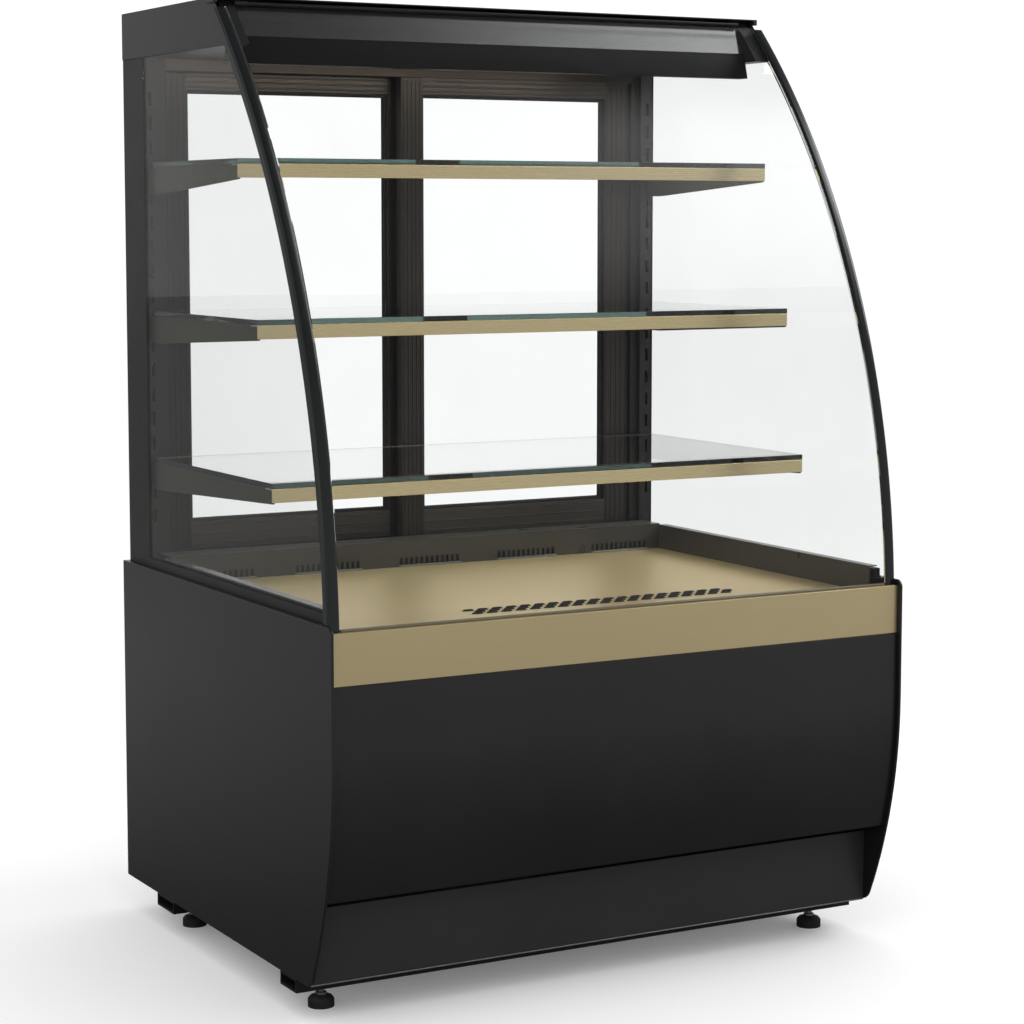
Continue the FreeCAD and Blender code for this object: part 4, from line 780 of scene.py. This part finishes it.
def ribItem(length, upright):
    half, wide, proud = length / 2, ribShape["wide"] / 2, ribShape["proud"]
    loop = [(-wide, 0.2), (-wide * 0.8, -proud * 0.8), (-wide * 0.45, -proud), (wide * 0.45, -proud),
            (wide * 0.8, -proud * 0.8), (wide, 0.2)]
    loops = [[(x, y, along) if upright else (along, y, x) for x, y in loop] for along in (-half, half)]
    return loftLoops("rib", loops, litDoorBronze)


# left door takes the painted-shade bronze, right door the painted-light bronze; rails and their ribs take the
# lighter painted-light rail bronze
doorFinishes = {"left": shadedDoorBronze, "right": litDoorBronze}
for label, doorFinish in doorFinishes.items():
    low, high = boxInMm(label + "_door_frame")
    paneLow, paneHigh = boxInMm(label + "_door_glass")
    cuts = (paneLow[0] * mm, paneHigh[0] * mm)
    edgedCopy(label + "_door_frame", ribShape["edge"], [doorFinish, litDoorRailBronze],
              lambda face: 1 if cuts[0] < face.calc_center_median().x < cuts[1] else 0, cuts)
    middle, tall = (low[2] + high[2]) / 2, high[2] - low[2] - ribShape["endClear"]
    across = paneHigh[0] - paneLow[0] - ribShape["paneClear"]
    rows = [("Left", low[0], paneLow[0], tall, True), ("Right", paneHigh[0], high[0], tall, True),
            ("Bottom", low[2] + ribShape["footClear"], paneLow[2], across, False),
            ("Top", paneHigh[2], high[2] - ribShape["headClear"], across, False)]
    for word, near, far, length, upright in rows:
        count = ribShape["onStile" if upright else "onRail"]
        step = (far - near - ribSpan) / (count - 1)
        if upright:
            start, apart, paint = (near + ribClear, low[1], middle), (step, 0, 0), doorFinish
        else:
            centre = (paneLow[0] + paneHigh[0]) / 2
            start, apart, paint = (centre, low[1], near + ribClear), (0, 0, step), litDoorRailBronze
        ribs = grid(label + "Door" + word + "Ribs", ribItem(length, upright), start, count, apart, paint)
        join(ribs, label + "_door", "bronze_anodised")

# levelling feet: rubber pad below this height in metres, plated stud and lock nut above
padTop = 0.0178
for node in sorted(name for name in frame["nodes"] if name.endswith("_foot")):
    edgedCopy(node, 0, [finishes["rubber_foot"], finishes["zinc_steel"]],
              lambda face: 0 if face.calc_center_median().z < padTop else 1)

# controller face: lens, plain digits, keys and screws, read from the staff side
display = {"x": 256.0, "z": 485.0, "wide": 66.0, "high": 27.0, "corner": 3.0, "thick": 0.3, "face": 395.5,
           "digit": 15.0, "digitRear": 395.78, "digitFace": 395.86, "keyZ": 459.5, "keyPitch": 17.0, "keys": 4,
           "screwX": 208.0, "screwZ": 448.0, "screwWide": 184.0, "screwHigh": 60.0}
s = display


def roundedPlate(name, x, z, wide, high, corner, face, thick, finish):
    loop = []
    for turn in range(4):
        cornerX = x + (wide / 2 - corner) * (1 if turn in (0, 3) else -1)
        cornerZ = z + (high / 2 - corner) * (1 if turn in (0, 1) else -1)
        for step in range(6):
            angle = math.radians(90 * turn + 18 * step)
            loop.append((cornerX + corner * math.cos(angle), cornerZ + corner * math.sin(angle)))
    loops = [[(x + (px - x) * shrink, face + deep, z + (pz - z) * shrink) for px, pz in loop]
             for deep, shrink in ((0.0, 1.0), (thick * 0.7, 1.0), (thick, 0.985))]
    return outward(loftLoops(name, loops, finish))


lens = roundedPlate("controllerLens", s["x"], s["z"], s["wide"], s["high"], s["corner"], s["face"], s["thick"],
                    lensMaterial)
join(lens, "case", "black_plastic")
segmentPlaces = {"a": (0, 1, 0), "b": (1, 0.5, 1), "c": (1, -0.5, 1), "d": (0, -1, 0), "e": (-1, -0.5, 1),
                 "f": (-1, 0.5, 1), "g": (0, 0, 0)}
digitSegments = {"0": "abcdef", "4": "fgbc"}


def digitFaces(text, middle, z, high):
    wide, thick, points, faces = high * 0.5, high * 0.11, [], []
    for place, figure in enumerate(text):
        centre = middle - (place - (len(text) - 1) / 2) * high * 0.85
        if figure == ".":
            bars = [((centre, z - high / 2), (thick * 0.6, thick * 0.6))]
        else:
            bars = []
            for name in digitSegments[figure]:
                across, up, upright = segmentPlaces[name]
                size = (thick / 2, high / 4 - thick * 0.3) if upright else (wide / 2 - thick * 0.3, thick / 2)
                bars.append(((centre - across * wide / 2, z + up * high / 2), size))
        for (px, pz), (halfX, halfZ) in bars:
            slim = min(halfX, halfZ)
            if halfX > halfZ:
                loop = [(-halfX, 0), (-halfX + slim, -halfZ), (halfX - slim, -halfZ), (halfX, 0),
                        (halfX - slim, halfZ), (-halfX + slim, halfZ)]
            else:
                loop = [(0, -halfZ), (halfX, -halfZ + slim), (halfX, halfZ - slim), (0, halfZ),
                        (-halfX, halfZ - slim), (-halfX, -halfZ + slim)]
            start, count = len(points), len(loop)
            for deep in (display["digitRear"], display["digitFace"]):
                points += [((px + dx) * mm, deep * mm, (pz + dz) * mm) for dx, dz in loop]
            faces += [[start + index for index in face] for face in skinFaces(count, 2)]
    return points, faces


points, faces = digitFaces("4.0", s["x"], s["z"], s["digit"])
join(outward(meshPiece("controllerDigits", points, faces, [digitGlow])), "case", "black_plastic")
keyRings = [(5.2, -0.2), (5.2, 0.15), (4.8, 0.4), (3.6, 0.3), (0.4, 0.25)]
key = lathe("keyItem", keyRings, 20, gasketRubber, towardRear)
keys = grid("controllerKeys", key, (s["x"] - s["keyPitch"] * (s["keys"] - 1) / 2, s["face"], s["keyZ"]), s["keys"],
            (s["keyPitch"], 0, 0), gasketRubber)
join(keys, "case", "black_plastic")
screwRings = [(2.6, -0.1), (2.6, 0.2), (2.0, 0.45), (0.9, 0.45), (0.7, 0.1), (0.05, 0.1)]
corners = lathe("plateScrew", screwRings, 12, darkScrew, towardRear)
cornerScrews = grid("controllerScrews", corners, (s["screwX"], s["face"], s["screwZ"]), 2, (s["screwWide"], 0, 0),
                    darkScrew, 2, (0, 0, s["screwHigh"]))
join(cornerScrews, "case", "black_plastic")
print("doors, feet and controller detailed")


# one on rays that reached the camera without a reflection, zero in reflections and bounced light
def seenDirectly(tree):
    path = tree.nodes.new("ShaderNodeLightPath")
    bounced = addNode(tree, "ShaderNodeMath", {"operation": "ADD"})
    tree.links.new(path.outputs["Glossy Depth"], bounced.inputs[0])
    tree.links.new(path.outputs["Diffuse Depth"], bounced.inputs[1])
    seen = addNode(tree, "ShaderNodeMath", {"operation": "LESS_THAN"})
    seen.inputs[1].default_value = 0.5
    tree.links.new(bounced.outputs[0], seen.inputs[0])
    return path, seen.outputs[0]


# world: white behind the object, and in reflections a softer room with a bright window on the right
roomShape = {"behind": 1.06, "lit": 1.0, "above": 0.08, "glare": 3.4, "front": 0.45, "left": 0.26, "back": 1.05,
             "windowX": (0.42, 0.62), "windowY": (-0.12, -0.3), "windowZ": (0.5, 0.7)}


def makeWorld():
    world = bpy.data.worlds.new("paleStudio")
    world.use_nodes = True
    bpy.context.scene.world = world
    tree = world.node_tree
    link = tree.links.new
    where = tree.nodes.new("ShaderNodeTexCoord")
    split = tree.nodes.new("ShaderNodeSeparateXYZ")
    link(where.outputs["Generated"], split.inputs[0])
    rear = mapped(tree, split.outputs["X"], -0.45, 0.1, To_Min=roomShape["left"], To_Max=roomShape["back"])
    depth = mapped(tree, split.outputs["Y"], -0.7, 0.7, To_Min=roomShape["front"])
    link(rear.outputs["Result"], depth.inputs["To Max"])
    height = mapped(tree, split.outputs["Z"], 0.1, 0.9)
    room = addNode(tree, "ShaderNodeMix", {"data_type": "FLOAT"}, B=roomShape["above"])
    link(height.outputs["Result"], room.inputs["Factor"])
    link(depth.outputs["Result"], room.inputs[2])
    glare = None
    for axis in "ZYX":
        window = mapped(tree, split.outputs[axis], *roomShape["window" + axis],
                        {"interpolation_type": "SMOOTHSTEP"})
        if glare:
            both = addNode(tree, "ShaderNodeMath", {"operation": "MULTIPLY"})
            link(glare.outputs[0], both.inputs[0])
            link(window.outputs["Result"], both.inputs[1])
            window = both
        glare = window
    lift = addNode(tree, "ShaderNodeMath", {"operation": "MULTIPLY_ADD"})
    lift.inputs[1].default_value = roomShape["glare"]
    link(glare.outputs[0], lift.inputs[0])
    link(room.outputs[0], lift.inputs[2])
    path, seen = seenDirectly(tree)
    level = addNode(tree, "ShaderNodeMix", {"data_type": "FLOAT"}, B=roomShape["behind"])
    link(seen, level.inputs["Factor"])
    link(lift.outputs[0], level.inputs[2])
    matte = addNode(tree, "ShaderNodeMix", {"data_type": "FLOAT"}, B=roomShape["lit"])
    link(path.outputs["Is Diffuse Ray"], matte.inputs["Factor"])
    link(level.outputs[0], matte.inputs[2])
    shine = tree.nodes["Background"]
    link(matte.outputs[0], shine.inputs["Strength"])
    shine.inputs["Color"].default_value = rgb(1.0, 1.0, 1.0)


# floor: pale near the object, and a painted glow brightens it into the white behind; in reflections a painted
# shade makes it greyer, darkest near the object and on the left
floorShape = {"reach": 30.0, "near": 0.7, "far": 3.2, "shown": (0.93, 0.25), "mirrored": (0.13, 0.5),
              "leftShade": 0.45, "glow": 0.14, "glowRise": 0.62}


def makeFloor():
    material, tree, shader = newMaterial("paleFloor", Roughness=0.8, Specular_IOR_Level=0.0)
    link = tree.links.new
    where = tree.nodes.new("ShaderNodeTexCoord")
    reach = addNode(tree, "ShaderNodeVectorMath", {"operation": "LENGTH"})
    link(where.outputs["Object"], reach.inputs[0])
    spread = mapped(tree, reach.outputs["Value"], floorShape["near"], floorShape["far"]).outputs["Result"]
    seen = seenDirectly(tree)[1]
    tones = []
    for key in ("mirrored", "shown"):
        tone = addNode(tree, "ShaderNodeMix", {"data_type": "RGBA"})
        for socket, grey in zip((tone.inputs[6], tone.inputs[7]), floorShape[key]):
            socket.default_value = rgb(grey, grey, grey)
        link(spread, tone.inputs["Factor"])
        tones.append(tone.outputs[2])
    halves = tree.nodes.new("ShaderNodeSeparateXYZ")
    link(where.outputs["Object"], halves.inputs[0])
    # painted shade on the floor's left side, seen only in reflections
    side = mapped(tree, halves.outputs["X"], -2.2, -0.4, To_Min=floorShape["leftShade"])
    shaded = addNode(tree, "ShaderNodeVectorMath", {"operation": "SCALE"})
    link(tones[0], shaded.inputs[0])
    link(side.outputs["Result"], shaded.inputs["Scale"])
    tint = addNode(tree, "ShaderNodeMix", {"data_type": "RGBA"})
    link(seen, tint.inputs["Factor"])
    link(shaded.outputs["Vector"], tint.inputs[6])
    link(tones[1], tint.inputs[7])
    link(tint.outputs[2], shader.inputs["Base Color"])
    # painted glow: the floor emits more light the farther it lies, on camera rays only
    rise = addNode(tree, "ShaderNodeMath", {"operation": "MULTIPLY_ADD"})
    rise.inputs[1].default_value, rise.inputs[2].default_value = floorShape["glowRise"], floorShape["glow"]
    link(spread, rise.inputs[0])
    glow = addNode(tree, "ShaderNodeMath", {"operation": "MULTIPLY"})
    link(seen, glow.inputs[0])
    link(rise.outputs[0], glow.inputs[1])
    link(glow.outputs[0], shader.inputs["Emission Strength"])
    shader.inputs["Emission Color"].default_value = rgb(1.0, 1.0, 1.0)
    far = floorShape["reach"]
    floor = meshPiece("paleFloor", [(-far, -far, 0), (far, -far, 0), (far, far, 0), (-far, far, 0)],
                      [(0, 1, 2, 3)], [material], smooth=False)


makeWorld()
makeFloor()

# soft lamps: place, target, size, watts
softboxes = {
    "rightSoftbox": ((3.3, -0.9, 2.9), (0, 0, 0.9), (1.6, 1.6), 40),
    "frontFill": ((-2.6, -3.0, 1.8), (0, 0, 0.7), (1.2, 1.6), 8),
}
for name, (place, target, size, watts) in softboxes.items():
    light = bpy.data.lights.new(name, "AREA")
    light.shape, light.size, light.size_y, light.energy = "RECTANGLE", size[0], size[1], watts
    lamp = addObject(name, light)
    lamp.location = place
    lamp.rotation_euler = (Vector(target) - Vector(place)).to_track_quat("-Z", "Y").to_euler()

# camera: metres, degrees and millimetres
cameraShape = {"place": (-1.9134, -3.4796, 1.1244), "down": 5.716, "turn": -29.031, "lens": 89.73, "sensor": 36.0,
               "shift": -0.04}
view = bpy.data.cameras.new("mainView")
view.lens, view.sensor_width, view.shift_y = cameraShape["lens"], cameraShape["sensor"], cameraShape["shift"]
viewer = addObject("mainView", view)
viewer.location = cameraShape["place"]
viewer.rotation_euler = (math.radians(90 - cameraShape["down"]), 0.0, math.radians(cameraShape["turn"]))
bpy.context.scene.camera = viewer
bpy.context.scene.view_settings.view_transform = "Standard"
print("studio set")
